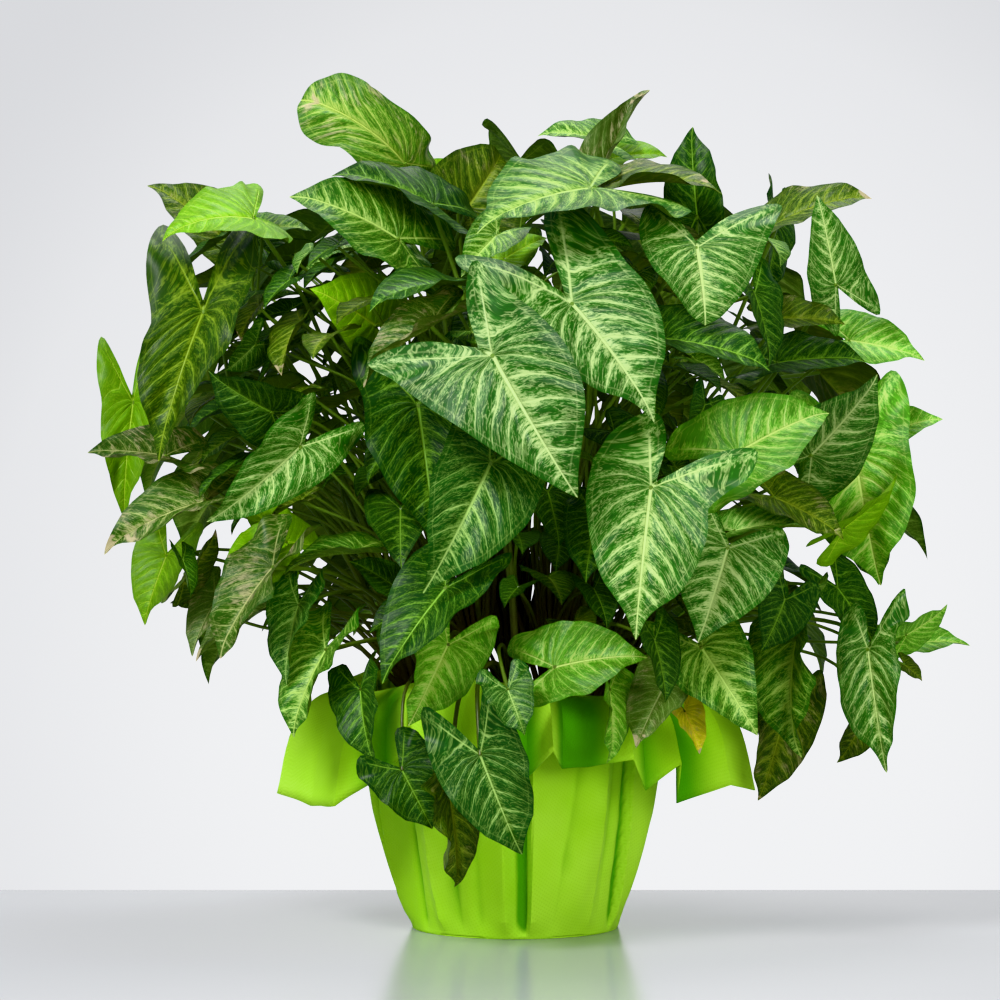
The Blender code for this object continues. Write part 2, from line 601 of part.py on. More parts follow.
class Body:
    """Something a leaf has to stay clear of: its box, its tree and the crown that it belongs to."""

    def __init__(self, kind, crown, points, tree):
        self.kind = kind
        self.crown = crown
        self.low = [min(p[i] for p in points) for i in range(3)]
        self.high = [max(p[i] for p in points) for i in range(3)]
        self.tree = tree

    def meets(self, other):
        for i in range(3):
            if self.low[i] > other.high[i] or other.low[i] > self.high[i]:
                return False
        return bool(self.tree.overlap(other.tree))


BOWS = (
    (0.0, 0.0, 0.0), (0.10, 0.0, 0.0), (0.0, 0.0, 0.16), (0.0, 0.0, -0.16), (0.10, 0.06, 0.10),
    (0.10, 0.06, -0.10), (0.22, 0.0, 0.0), (-0.08, 0.10, 0.0), (0.0, 0.14, 0.26), (0.0, 0.14, -0.26),
    (0.22, -0.1, 0.2), (0.22, -0.1, -0.2), (0.34, -0.16, 0.0), (0.05, 0.2, 0.4), (0.05, 0.2, -0.4),
)
DEPTH_STEPS = (0, 5, -5, 10, -10, 16, -16, 22, -22, 30, -30, 38, -38, 48, 60, 72)


def crown_spots():
    spots = []
    for count, radius, first in CROWN_RINGS:
        for i in range(count):
            angle = math.radians(first) + math.tau * i / count
            spots.append((radius * math.cos(angle), radius * math.sin(angle)))
    return spots


def crowns_near(junction, crowns, how_many):
    goal = (0.27 * junction.x, 0.27 * junction.y)
    order = sorted(
        range(len(crowns)),
        key=lambda i: math.hypot(crowns[i][0] - goal[0], crowns[i][1] - goal[1]),
    )
    return order[:how_many]


def try_leaf(leaf, crowns, bodies, taken):
    """The leaf's blade, petiole, crown and test bodies, or None where it can't be placed clear."""
    points, faces = leaf.blade()
    blade = Body("blade", -1, *shell_tree(points, faces, TEST_BLADE))
    if any(blade.meets(body) for body in bodies):
        return None
    for crown in crowns_near(leaf.junction, crowns, CROWNS_TRIED):
        for bow in BOWS:
            path = leaf.petiole(crowns[crown], bow, taken.get(crown, 0))
            tube = Body("petiole", crown, *tube_tree(path, leaf.petiole_r() + TEST_PETIOLE))
            clash = False
            for body in bodies:
                if body.kind in ("petiole", "stem") and body.crown == crown:
                    continue
                if tube.meets(body):
                    clash = True
                    break
            if clash:
                continue
            blade.crown = crown
            return points, faces, path, crown, (blade, tube)
    return None


def place_leaves(crowns, fixed):
    """Every leaf with its crown, clear of the rest. A leaf that can't be cleared is left out."""
    bodies = list(fixed)
    placed = []
    taken = {}
    lost = []
    for name, junction, tip, depth_a, depth_b, roll, width, fold, bend in FRONT_LEAVES:
        done = None
        for step in DEPTH_STEPS:
            near = seen_at(junction, (depth_a + step) * MM)
            far = seen_at(tip, (depth_b + step) * MM)
            leaf = Leaf(name, near, far, roll, width, fold, bend)
            done = try_leaf(leaf, crowns, bodies, taken)
            if done:
                break
        if not done:
            lost.append(name)
            continue
        placed.append((leaf, *done[:4]))
        taken[done[3]] = taken.get(done[3], 0) + 1
        bodies += done[4]
    draw = random.Random(SEED)
    for row, (height, wide, deep, azimuths, midrib) in enumerate(BACK_ROWS):
        for azimuth in azimuths:
            done = None
            for attempt in range(BACK_TRIES):
                angle = math.radians(azimuth + draw.uniform(-BACK_TURN, BACK_TURN))
                spread = draw.uniform(-1, 1) * BACK_SPREAD - attempt * BACK_STEP_IN
                out = Vector((math.cos(angle), math.sin(angle), 0.0))
                spot = Vector((
                    (wide * MM + spread) * math.cos(angle), (deep * MM + spread) * math.sin(angle),
                    height * MM + draw.uniform(-BACK_LIFT, BACK_LIFT) * MM,
                ))
                size = midrib * MM * draw.uniform(0.82, 1.15)
                swing = out.cross(Vector((0.0, 0.0, 1.0))) * draw.uniform(-0.6, 0.6)
                fall = draw.uniform(0.5, 1.1) if height < TOP_ROWS_FROM else draw.uniform(0.0, 0.5)
                along = (out * 0.6 + swing - Vector((0.0, 0.0, fall))).normalized()
                leaf = Leaf(f"back_{row}_{azimuth}", spot, spot + along * size, 0.0,
                            draw.uniform(0.85, 1.05), draw.uniform(10, 20), draw.uniform(0.3, 0.6))
                face = out * 0.75 + Vector((0.0, 0.0, 0.8))
                face = (face - leaf.along * face.dot(leaf.along)).normalized()
                turn = math.radians(draw.uniform(-BACK_ROLL, BACK_ROLL))
                leaf.normal = (face * math.cos(turn) + leaf.along.cross(face) * math.sin(turn)).normalized()
                leaf.across = leaf.along.cross(leaf.normal)
                done = try_leaf(leaf, crowns, bodies, taken)
                if done:
                    break
            if not done:
                lost.append(leaf.name)
                continue
            placed.append((leaf, *done[:4]))
            taken[done[3]] = taken.get(done[3], 0) + 1
            bodies += done[4]
    print(len(placed), "leaves placed; not placed:", ", ".join(lost) or "none")
    return placed


def drop_hollows(mesh):
    """Keeps the largest body of a joined mesh: sealed hollows are filled and loose scraps dropped."""
    shape = bmesh.new()
    shape.from_mesh(mesh)
    bmesh.ops.triangulate(shape, faces=shape.faces)
    bmesh.ops.dissolve_degenerate(shape, edges=shape.edges, dist=1e-6)
    waiting = set(shape.faces)
    islands = []
    while waiting:
        stack = [waiting.pop()]
        island = []
        while stack:
            face = stack.pop()
            island.append(face)
            for edge in face.edges:
                for other in edge.link_faces:
                    if other in waiting:
                        waiting.remove(other)
                        stack.append(other)
        volume = 0.0
        for face in island:
            a, b, c = (v.co for v in face.verts[:3])
            volume += a.dot(b.cross(c)) / 6.0
        islands.append((volume, island))
    islands.sort(key=lambda pair: pair[0])
    for _, island in islands[:-1]:
        bmesh.ops.delete(shape, geom=island, context="FACES")
    shape.to_mesh(mesh)
    shape.free()


def make_petiole(path, radius, home):
    curve = bpy.data.curves.new("petiole", "CURVE")
    curve.dimensions = "3D"
    curve.bevel_depth = radius
    curve.bevel_resolution = 0
    curve.use_fill_caps = True
    line = curve.splines.new("POLY")
    line.points.add(len(path) - 1)
    for point, place in zip(line.points, path):
        point.co = (*place, 1.0)
    guide = bpy.data.objects.new("petiole_path", curve)
    home.objects.link(guide)
    bpy.context.view_layer.update()
    made = evaluated_copy(guide, "petiole", home)
    weld(made.data)
    bpy.data.objects.remove(guide, do_unlink=True)
    return made


def make_blade(points, faces, home):
    blade = add_mesh("blade", points, faces, home)
    thick = blade.modifiers.new("blade", "SOLIDIFY")
    thick.thickness = BLADE_THICKNESS
    thick.offset = 0.0
    thick.use_even_offset = False
    return blade


def make_stem(name, spot, home, paint):
    bpy.ops.mesh.primitive_cone_add(
        vertices=STEM_SIDES, radius1=STEM_R, radius2=0.72 * STEM_R,
        depth=STEM_TOP_Z - STEM_FOOT_Z, location=(0.0, 0.0, 0.0),
    )
    stem = bpy.context.object
    stem.name = name
    stem.data.name = name
    for vert in stem.data.vertices:
        vert.co += Vector((spot[0], spot[1], (STEM_TOP_Z + STEM_FOOT_Z) / 2))
    for other in list(stem.users_collection):
        other.objects.unlink(stem)
    home.objects.link(stem)
    stem.data.materials.append(paint)
    return stem


def make_leafy_stems(home, placed, crowns, paint):
    """One solid for each crown: its stem joined with the petioles and blades that it carries."""
    for number, spot in enumerate(crowns):
        own = [row for row in placed if row[4] == number]
        if not own:
            continue
        name = f"leafy_stem_{number + 1:02d}"
        stem = make_stem(name, spot, home, paint)
        growth = bpy.data.collections.new(name + "_growth")
        bpy.context.scene.collection.children.link(growth)
        for leaf, points, faces, path, _ in own:
            make_blade(points, faces, growth)
            make_petiole(path, leaf.petiole_r(), growth)
        join = stem.modifiers.new("growth", "BOOLEAN")
        join.operation = "UNION"
        join.solver = "EXACT"
        join.operand_type = "COLLECTION"
        join.collection = growth
        bpy.context.view_layer.update()
        graph = bpy.context.evaluated_depsgraph_get()
        joined = bpy.data.meshes.new_from_object(stem.evaluated_get(graph))
        stem.modifiers.clear()
        stem.data = joined
        joined.name = name
        drop_hollows(joined)
        for scrap in list(growth.objects):
            bpy.data.objects.remove(scrap, do_unlink=True)
        bpy.data.collections.remove(growth)
        joined.shade_smooth()
        joined.set_sharp_from_angle(angle=math.radians(50))
        print(name, len(own), "leaves,", len(joined.polygons), "faces")


def main():
    home, helpers = start_scene()
    green = material("foliage", (0.10, 0.26, 0.05), 0.42)
    black = material("pot_plastic", (0.03, 0.03, 0.035), 0.5)
    brown = material("peat", (0.055, 0.035, 0.022), 0.95)
    lime = material("fabric", (0.28, 0.66, 0.01), 0.75)
    crowns = crown_spots()
    make_pot(home, black)
    make_soil(home, helpers, brown, crowns)
    wrap = make_wrap(home, lime)
    bpy.context.view_layer.update()
    shell = evaluated_copy(wrap, "wrap_test", helpers)
    points = [v.co.copy() for v in shell.data.vertices]
    sides = [tuple(face.vertices) for face in shell.data.polygons]
    fixed = [Body("wrap", -1, points, BVHTree.FromPolygons(points, sides))]
    bpy.data.objects.remove(shell, do_unlink=True)
    for number, (x, y) in enumerate(crowns):
        path = [Vector((x, y, STEM_FOOT_Z)), Vector((x, y, STEM_TOP_Z))]
        fixed.append(Body("stem", number, *tube_tree(path, STEM_R + TEST_PETIOLE)))
    placed = place_leaves(crowns, fixed)
    make_leafy_stems(home, placed, crowns, green)


main()
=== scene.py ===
# %% [markdown]
# # An arrowhead plant in a pot wrapped in cloth
# The plant is a Syngonium: soft arrow-shaped leaves, each on its own long stalk, all rising from a few
# short stems in one nursery pot. The pot stands in a square of bright non-woven cloth. The imported solids
# give the frame, and each piece here stands where its solid stands, only finer.

# %% Start: load the solids, and helpers that find boxes
import math
import random
from collections import namedtuple

import bpy
import numpy as np
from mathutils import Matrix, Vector, noise
from mathutils.bvhtree import BVHTree
from mathutils.geometry import delaunay_2d_cdt


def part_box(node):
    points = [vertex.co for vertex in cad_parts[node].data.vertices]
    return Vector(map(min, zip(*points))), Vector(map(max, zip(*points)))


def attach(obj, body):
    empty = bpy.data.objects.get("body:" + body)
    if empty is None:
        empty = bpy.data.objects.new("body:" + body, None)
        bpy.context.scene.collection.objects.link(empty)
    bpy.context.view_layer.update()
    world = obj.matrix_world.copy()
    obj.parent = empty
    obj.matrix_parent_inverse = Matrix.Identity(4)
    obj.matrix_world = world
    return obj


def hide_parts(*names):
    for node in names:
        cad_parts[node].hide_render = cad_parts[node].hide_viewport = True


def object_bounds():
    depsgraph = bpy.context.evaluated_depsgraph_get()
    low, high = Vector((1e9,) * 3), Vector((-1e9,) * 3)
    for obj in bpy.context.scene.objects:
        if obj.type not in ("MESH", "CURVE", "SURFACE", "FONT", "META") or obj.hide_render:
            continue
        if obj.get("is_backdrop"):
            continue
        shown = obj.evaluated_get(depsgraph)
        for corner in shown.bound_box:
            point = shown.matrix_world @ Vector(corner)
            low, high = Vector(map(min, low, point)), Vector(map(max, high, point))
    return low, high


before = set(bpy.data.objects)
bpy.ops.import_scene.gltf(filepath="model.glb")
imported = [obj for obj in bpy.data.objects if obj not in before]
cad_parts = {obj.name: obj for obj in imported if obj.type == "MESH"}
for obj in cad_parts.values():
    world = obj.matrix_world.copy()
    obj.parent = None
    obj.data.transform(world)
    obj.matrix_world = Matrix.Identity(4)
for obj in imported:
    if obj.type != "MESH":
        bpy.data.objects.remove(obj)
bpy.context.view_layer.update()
MM = 0.001
HOME = bpy.context.scene.collection


def new_object(name, data):
    """An object of this scene, at the origin."""
    made = bpy.data.objects.new(name, data)
    HOME.objects.link(made)
    return made


def new_mesh(name, points, faces, edges=()):
    mesh = bpy.data.meshes.new(name)
    mesh.from_pydata(points, edges, faces)
    return mesh


# %% [markdown]
# ## Camera
# The photograph was taken level with the plant's middle through a long lens, so the camera looks straight
# along +Y and the table's far edge is a level line. Through a long lens a leaf looks nearly the same size
# wherever it stands in depth, which makes it easy to place leaves from the picture.

# %% Camera
EYE = Vector((-0.0075, -1.67, 0.213))
LENS = 120.24
camera = new_object("camera", bpy.data.cameras.new("camera"))
camera.data.lens = LENS
camera.data.sensor_width = 36.0
camera.location = EYE
camera.rotation_euler = (math.radians(90.0), 0.0, 0.0)
bpy.context.scene.camera = camera
print("camera at", [round(v, 3) for v in EYE], "lens", LENS)

# %% [markdown]
# ## Writing materials as formulas
# A pattern such as the veins of a leaf is a formula over the surface. The class below lets a node's output
# be added, multiplied and compared like a number, and adds the Math nodes behind the scenes. That keeps the
# formulas readable, which long chains of hand-placed nodes are not.


# %% Sockets that can be used as numbers
class Field:
    """A value that changes over the surface: an output socket with arithmetic."""

    def __init__(self, tree, socket):
        self.tree = tree
        self.socket = socket

    def math(self, operation, *others):
        return compute(self.tree, operation, self, *others)

    def __add__(self, other):
        return self.math("ADD", other)

    def __sub__(self, other):
        return self.math("SUBTRACT", other)

    def __mul__(self, other):
        return self.math("MULTIPLY", other)

    def __truediv__(self, other):
        return self.math("DIVIDE", other)

    def __abs__(self):
        return self.math("ABSOLUTE")

    def step(self, low, high):
        """0 below low, 1 above high, and smooth between them."""
        node = self.tree.nodes.new("ShaderNodeMapRange")
        node.interpolation_type = "SMOOTHSTEP"
        plug(self.tree, self, node.inputs["Value"])
        plug(self.tree, low, node.inputs["From Min"])
        plug(self.tree, high, node.inputs["From Max"])
        return Field(self.tree, node.outputs["Result"])

    def opposite(self):
        """1 less this value."""
        return compute(self.tree, "SUBTRACT", 1.0, self)

    def most(self, other):
        """The larger of the two."""
        return self.math("MAXIMUM", other)


def plug(tree, value, socket):
    """Links a field or a socket to this socket, or sets the socket to a plain value."""
    if isinstance(value, Field):
        tree.links.new(value.socket, socket)
    elif isinstance(value, bpy.types.NodeSocket):
        tree.links.new(value, socket)
    else:
        socket.default_value = value


def compute(tree, operation, *values):
    """A Math node on these values."""
    node = tree.nodes.new("ShaderNodeMath")
    node.operation = operation
    for value, socket in zip(values, node.inputs):
        plug(tree, value, socket)
    return Field(tree, node.outputs[0])


def combine(tree, x, y, z):
    node = tree.nodes.new("ShaderNodeCombineXYZ")
    for value, socket in zip((x, y, z), node.inputs):
        plug(tree, value, socket)
    return node.outputs[0]


def separate(tree, vector):
    node = tree.nodes.new("ShaderNodeSeparateXYZ")
    plug(tree, vector, node.inputs[0])
    return [Field(tree, socket) for socket in node.outputs]


def cloud(tree, vector, scale, detail=2.0, roughness=0.5, distortion=0.0):
    """Noise from 0 to 1."""
    node = tree.nodes.new("ShaderNodeTexNoise")
    plug(tree, vector, node.inputs["Vector"])
    values = {"Scale": scale, "Detail": detail, "Roughness": roughness, "Distortion": distortion}
    for name, value in values.items():
        plug(tree, value, node.inputs[name])
    return Field(tree, node.outputs["Fac"])


def mix(tree, share, first, second):
    """The first colour where share is 0 and the second where it is 1."""
    node = tree.nodes.new("ShaderNodeMix")
    node.data_type = "RGBA"
    plug(tree, share, node.inputs[0])
    plug(tree, first, node.inputs[6])
    plug(tree, second, node.inputs[7])
    return node.outputs[2]


def shade(tree, colour, amount):
    """The colour made lighter or darker by a factor."""
    node = tree.nodes.new("ShaderNodeVectorMath")
    node.operation = "SCALE"
    plug(tree, colour, node.inputs[0])
    plug(tree, amount, node.inputs["Scale"])
    return node.outputs[0]


def attribute(tree, name):
    node = tree.nodes.new("ShaderNodeAttribute")
    node.attribute_name = name
    return node


def seen(red, green, blue):
    """A colour given as it looks on a screen, 0 to 255, as the linear colour that a shader takes."""
    parts = [value / 255.0 for value in (red, green, blue)]
    return (*(p / 12.92 if p <= 0.04045 else ((p + 0.055) / 1.055) ** 2.4 for p in parts), 1.0)


def new_group(family, name, inputs, outputs):
    """An empty node group with its sockets, and its input and output nodes."""
    group = bpy.data.node_groups.new(name, family)
    for label, kind, *start in inputs:
        socket = group.interface.new_socket(name=label, in_out="INPUT", socket_type="NodeSocket" + kind)
        if start:
            socket.default_value = start[0]
    for label, kind in outputs:
        group.interface.new_socket(name=label, in_out="OUTPUT", socket_type="NodeSocket" + kind)
    return group, group.nodes.new("NodeGroupInput"), group.nodes.new("NodeGroupOutput")


def place_group(tree, group, **values):
    node = tree.nodes.new("ShaderNodeGroup")
    node.node_tree = group
    for name, value in values.items():
        plug(tree, value, node.inputs[name.replace("_", " ")])
    return node


def new_material(name, roughness, **constants):
    """A material with its Principled shader, whose constant values sit on its own sockets."""
    made = bpy.data.materials.new(name)
    made.use_nodes = True
    shader = made.node_tree.nodes["Principled BSDF"]
    shader.inputs["Roughness"].default_value = roughness
    for label, value in constants.items():
        shader.inputs[label.replace("_", " ")].default_value = value
    return made, made.node_tree, shader


def bump(tree, shader, height, distance, strength=1.0):
    node = tree.nodes.new("ShaderNodeBump")
    node.inputs["Distance"].default_value = distance
    node.inputs["Strength"].default_value = strength
    plug(tree, height, node.inputs["Height"])
    tree.links.new(node.outputs["Normal"], shader.inputs["Normal"])


def object_place(tree):
    return tree.nodes.new("ShaderNodeTexCoord").outputs["Object"]


print("material helpers ready")

# %% [markdown]
# ## Table, backdrop and light
# The plant stands on a pale, slightly glossy table in front of a bright wall. Two flat sheets are enough,
# because neither is seen from its edge, and the wall gives its own light, so its glow is a plain formula. A
# large soft light from the upper left, a weaker one from the right, one from above and a pale world give
# the bright, nearly shadowless studio look.

# %% Table and backdrop
TABLE_HALF = 2.4
TABLE_FRONT_Y = -2.6
TABLE_EDGE_Y = 0.155
BACKDROP_Y = 3.4
BACKDROP_HALF = 3.0
BACKDROP_FOOT_Z = -2.0
BACKDROP_TOP_Z = 3.0
TABLE_TONES = ((165, 166, 168), (173, 174, 176))
WALL_TONES = ((243, 244, 246), (202, 203, 206))   # the wall's painted glow behind the plant, and far out
GLOW_X = 0.15                    # middle of the wall's glow
GLOW_Z = -0.1
GLOW_REACH = (0.35, 1.3)         # metres from there, where it starts to fade and where it has faded


def flat_sheet(name, corners, paint):
    made = new_object(name, new_mesh(name, corners, [(0, 1, 2, 3)]))
    made.data.materials.append(paint)
    made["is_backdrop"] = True


table_paint, tree, shader = new_material("pale_table", 0.20, Specular_IOR_Level=0.35)
haze = cloud(tree, object_place(tree), 3.0)
tree.links.new(mix(tree, haze, *(seen(*tone) for tone in TABLE_TONES)), shader.inputs["Base Color"])
flat_sheet(
    "table",
    [(-TABLE_HALF, TABLE_FRONT_Y, 0), (TABLE_HALF, TABLE_FRONT_Y, 0),
     (TABLE_HALF, TABLE_EDGE_Y, 0), (-TABLE_HALF, TABLE_EDGE_Y, 0)],
    table_paint,
)

wall_paint, tree, shader = new_material("studio_wall", 1.0, Specular_IOR_Level=0.0, Emission_Strength=1.25)
shader.inputs["Base Color"].default_value = (0.0, 0.0, 0.0, 1.0)
x, y, z = separate(tree, object_place(tree))
# Painted light: a pool of glow on the wall, brightest behind the plant and fading outwards
far = ((x - GLOW_X) * (x - GLOW_X) + (z - GLOW_Z) * (z - GLOW_Z) * 0.8).math("SQRT")
painted_glow = mix(tree, far.step(*GLOW_REACH), *(seen(*tone) for tone in WALL_TONES))
tree.links.new(painted_glow, shader.inputs["Emission Color"])
flat_sheet(
    "backdrop",
    [(-BACKDROP_HALF, BACKDROP_Y, BACKDROP_FOOT_Z), (BACKDROP_HALF, BACKDROP_Y, BACKDROP_FOOT_Z),
     (BACKDROP_HALF, BACKDROP_Y, BACKDROP_TOP_Z), (-BACKDROP_HALF, BACKDROP_Y, BACKDROP_TOP_Z)],
    wall_paint,
)
print("table and backdrop ready")

# %% World and lights
WORLD_COLOUR = (0.92, 0.95, 1.0, 1.0)
WORLD_STRENGTH = 0.62
VIEW = "Khronos PBR Neutral"
MIDDLE = (0.0, 0.0, 0.22)        # of the plant, where the lights point

world = bpy.data.worlds.new("studio")
bpy.context.scene.world = world
world.use_nodes = True
world.node_tree.nodes["Background"].inputs["Color"].default_value = WORLD_COLOUR
world.node_tree.nodes["Background"].inputs["Strength"].default_value = WORLD_STRENGTH
bpy.context.scene.view_settings.view_transform = VIEW


def soft_light(name, place, target, size, watts):
    """A square lamp that the camera doesn't see."""
    made = new_object(name, bpy.data.lights.new(name, "AREA"))
    made.data.shape = "SQUARE"
    made.data.size = size
    made.data.energy = watts
    made.location = place
    made.rotation_euler = (Vector(target) - Vector(place)).to_track_quat("-Z", "Y").to_euler()
    made.visible_camera = False
    return made


soft_light("key", (-0.75, -1.25, 1.35), MIDDLE, 0.55, 36.0)
fill = soft_light("fill", (0.8, -1.7, 0.62), (0.0, 0.0, 0.1), 0.7, 16.0)
fill.visible_glossy = False      # it would show as a white patch on the table from behind
soft_light("top", (0.15, 0.35, 1.6), MIDDLE, 0.7, 12.0)
print("lights ready")

# %% [markdown]
# ## The leaf's pattern
# A syngonium leaf is dark green, with a pale midrib, a rib into each lobe and side veins that leave the
# midrib at an angle, bend forward and run into one thin vein along the margin. Cream-green feathers follow
# the side veins. Each blade carries its own flat coordinates, across and along the midrib, so one formula
# draws the pattern on every leaf however it is bent. The same formula later gives the blade its relief.

# %% One node group draws veins and feathers
VEIN_SPACING = 0.165             # along the midrib, for a midrib of 1
VEIN_SLOPE = 0.55                # side veins run forward this much as they go out
VEIN_CURVE = 1.2
FAN = 0.45                       # behind the junction the veins spread out like a fan
LOBE_RIB = (0.62, -0.78)         # direction of the rib into each lobe
MARGIN_VEIN = 0.05               # distance of the thin vein from the edge
BACK_COLOUR = (104, 126, 62)     # what the underside's colour is mixed with
DRIED_COLOUR = (172, 160, 126)
Veins = namedtuple("Veins", "along away front side midrib lobe off_lobe margin")


def draw_veins(group, x, y, edge, shift):
    """The lines of the veins, and where a spot lies between two side veins."""
    across = abs(x)
    reach = (x * x + y * y).math("SQRT")
    wander = cloud(group, combine(group, x, y, shift), 3.6, 2.0) - 0.5
    ahead = y - across * VEIN_SLOPE - across * across * VEIN_CURVE + wander * 0.07
    fan = ahead * FAN / (reach + 0.02)
    front = ahead.step(-0.02, 0.03)
    along = fan + (ahead - fan) * front
    away = abs((along / VEIN_SPACING + 0.5).math("FRACT") - 0.5) * 2.0
    taper = across.step(0.0, 0.55) * -0.6 + 1.0
    side = away.step(0.0, 0.13).opposite() * edge.step(0.01, 0.06) * taper
    half_width = y * -0.009 + 0.013
    midrib = (across - half_width).step(-0.004, 0.004).opposite() * y.step(-0.05, -0.02)
    off = abs(across * -LOBE_RIB[1] + y * LOBE_RIB[0])
    out = across * LOBE_RIB[0] + y * LOBE_RIB[1]
    lobe = off.step(0.002, 0.013).opposite() * out.step(0.0, 0.03) * out.step(0.35, 0.62).opposite()
    margin = abs(edge - MARGIN_VEIN + wander * 0.03).step(0.001, 0.009).opposite()
    return Veins(along, away, front, side, midrib, lobe, off, margin)


def make_blade_group():
    group, given, result = new_group(
        "ShaderNodeTree", "veined_blade",
        [
            ("Place", "Vector"), ("Ground", "Color", (0.03, 0.15, 0.03, 1.0)),
            ("Pale", "Color", (0.4, 0.6, 0.25, 1.0)), ("Amount", "Float", 0.5), ("Seed", "Float", 0.0),
            ("Under", "Float", 0.0), ("Dry", "Float", 0.0),
        ],
        [("Colour", "Color"), ("Relief", "Float"), ("Roughness", "Float")],
    )
    x, y, edge = separate(group, given.outputs["Place"])
    amount, seed, under, dry = (
        Field(group, given.outputs[name]) for name in ("Amount", "Seed", "Under", "Dry")
    )
    shift = seed * 37.0
    veins = draw_veins(group, x, y, edge, shift)

    # Feathers: noise drawn out along the side veins, thickest beside the ribs and thin at the margin
    across = abs(x)
    run = across * veins.front + (x * x + y * y).math("SQRT") * veins.front.opposite()
    coarse = cloud(group, combine(group, veins.along, run * 0.26, shift), 24.0, 3.0, 0.6, 0.5)
    fine = cloud(group, combine(group, veins.along, run * 0.30, shift + 9.0), 90.0, 4.0, 0.75, 0.3)
    web = cloud(group, combine(group, veins.along, run * 0.30, shift + 4.0), 34.0, 2.0, 0.55, 0.5) - 0.5
    threads = abs(web).step(0.005, 0.055).opposite() * fine.step(0.36, 0.52)
    glow = veins.away.opposite().math("POWER", 1.4) * (across.step(0.0, 0.5) * -0.45 + 1.0)
    glow = glow.most(veins.off_lobe.step(0.0, 0.10).opposite() * 0.8)
    glow = glow.most(across.step(0.01, 0.11).opposite() * 0.85)
    level = glow * 0.70 + (coarse - 0.5) * 1.2 + (fine - 0.5) * 2.3 + (amount - 0.5) * 1.4
    level = level - edge.step(0.02, 0.24).opposite() * 0.26
    inside = (edge + (fine - 0.5) * 0.18 + (coarse - 0.5) * 0.12).step(-0.03, 0.05)
    feather = level.step(0.24, 0.80) * inside
    feather = feather.most(threads * inside * (amount * 0.8 + 0.1))

    # Colour: uneven ground, a lighter halo round the feathers, the feathers and then the veins
    patch = cloud(group, combine(group, x, y, shift + 5.0), 5.0, 2.0)
    ground = shade(group, given.outputs["Ground"], patch * 0.8 + 0.56 + fine * 0.2)
    halo = level.step(-0.05, 0.50) * inside * amount
    ground = mix(group, halo * 0.9, ground, shade(group, given.outputs["Ground"], 3.2))
    vein_tone = shade(group, given.outputs["Pale"], 1.15)
    colour = mix(group, feather * 0.92, ground, given.outputs["Pale"])
    lines = veins.midrib.most(veins.lobe * 0.8).most(veins.side * (amount * 0.5 + 0.4))
    colour = mix(group, lines.most(veins.margin * 0.16), colour, vein_tone)
    colour = mix(group, under * 0.5, colour, seen(*BACK_COLOUR))

    # Dried patches, most of them towards the tip, and dried streaks
    blotch = cloud(group, combine(group, x, y, shift + 3.0), 3.4, 3.0, 0.6)
    worn = (blotch + y.step(0.45, 1.0) * 0.30 + dry * 0.30).step(0.90, 0.95) * dry.step(0.0, 0.05)
    streaks = (coarse * 0.35 + fine * 0.25 + blotch * 0.4 + dry * 0.08).step(0.55, 0.63)
    worn = worn.most(streaks * dry.step(0.0, 0.3) * 0.6)
    colour = mix(group, worn * 0.8, colour, seen(*DRIED_COLOUR))
    plug(group, colour, result.inputs["Colour"])
    relief = veins.away * 0.35 - veins.side * 0.4 - veins.midrib * 0.9 - veins.lobe * 0.7 + fine * 0.22
    plug(group, relief * (under * -1.6 + 1.0), result.inputs["Relief"])
    plug(group, coarse * 0.2 + 0.34 + under * 0.2 + worn * 0.2, result.inputs["Roughness"])
    return group


blade_group = make_blade_group()
print("blade group", len(blade_group.nodes), "nodes")

# %% The leaf's material
leaf_paint, tree, shader = new_material("leaf", 0.4, Specular_IOR_Level=0.22)
ground = attribute(tree, "ground")
pale = attribute(tree, "pale")
pattern = place_group(
    tree, blade_group, Place=attribute(tree, "blade").outputs["Vector"], Ground=ground.outputs["Color"],
    Seed=ground.outputs["Alpha"], Pale=pale.outputs["Color"], Amount=pale.outputs["Alpha"],
    Under=attribute(tree, "under").outputs["Fac"], Dry=attribute(tree, "dry").outputs["Fac"],
)
tree.links.new(pattern.outputs["Colour"], shader.inputs["Base Color"])
tree.links.new(pattern.outputs["Roughness"], shader.inputs["Roughness"])
bump(tree, shader, pattern.outputs["Relief"], 0.6 * MM, 0.7)
print("leaf material", len(tree.nodes), "nodes")

# %% [markdown]
# ## Grain for the plainer finishes
# Leafstalks, pot and soil each need a little unevenness. One group gives a value that wanders and a fine
# grain, and each material asks for it at its own size.

# %% A grain group, and the materials that use it
grain_group, given, result = new_group(
    "ShaderNodeTree", "grain",
    [("Place", "Vector"), ("Size", "Float", 200.0)], [("Drift", "Float"), ("Grain", "Float")],
)
size = Field(grain_group, given.outputs["Size"])
plug(grain_group, cloud(grain_group, given.outputs["Place"], size * 0.15, 2.0), result.inputs["Drift"])
plug(grain_group, cloud(grain_group, given.outputs["Place"], size, 4.0, 0.7), result.inputs["Grain"])


def grained(name, size, low, high, rough, swing, depth):
    """A material between two colours, with grain of this size, in features per metre."""
    paint, tree, shader = new_material(name, rough)
    node = place_group(tree, grain_group, Place=object_place(tree), Size=size)
    drift = Field(tree, node.outputs["Drift"])
    fine = Field(tree, node.outputs["Grain"])
    share = (drift * 0.6 + fine * 0.4).step(0.3, 0.7)
    tree.links.new(mix(tree, share, seen(*low), seen(*high)), shader.inputs["Base Color"])
    plug(tree, fine * swing + (rough - swing / 2), shader.inputs["Roughness"])
    bump(tree, shader, fine, depth)
    return paint


pot_paint = grained("pot_plastic", 1600.0, (20, 21, 23), (34, 35, 37), 0.45, 0.2, 0.1 * MM)
soil_paint = grained("peat", 900.0, (30, 20, 13), (74, 54, 38), 0.95, 0.1, 0.8 * MM)
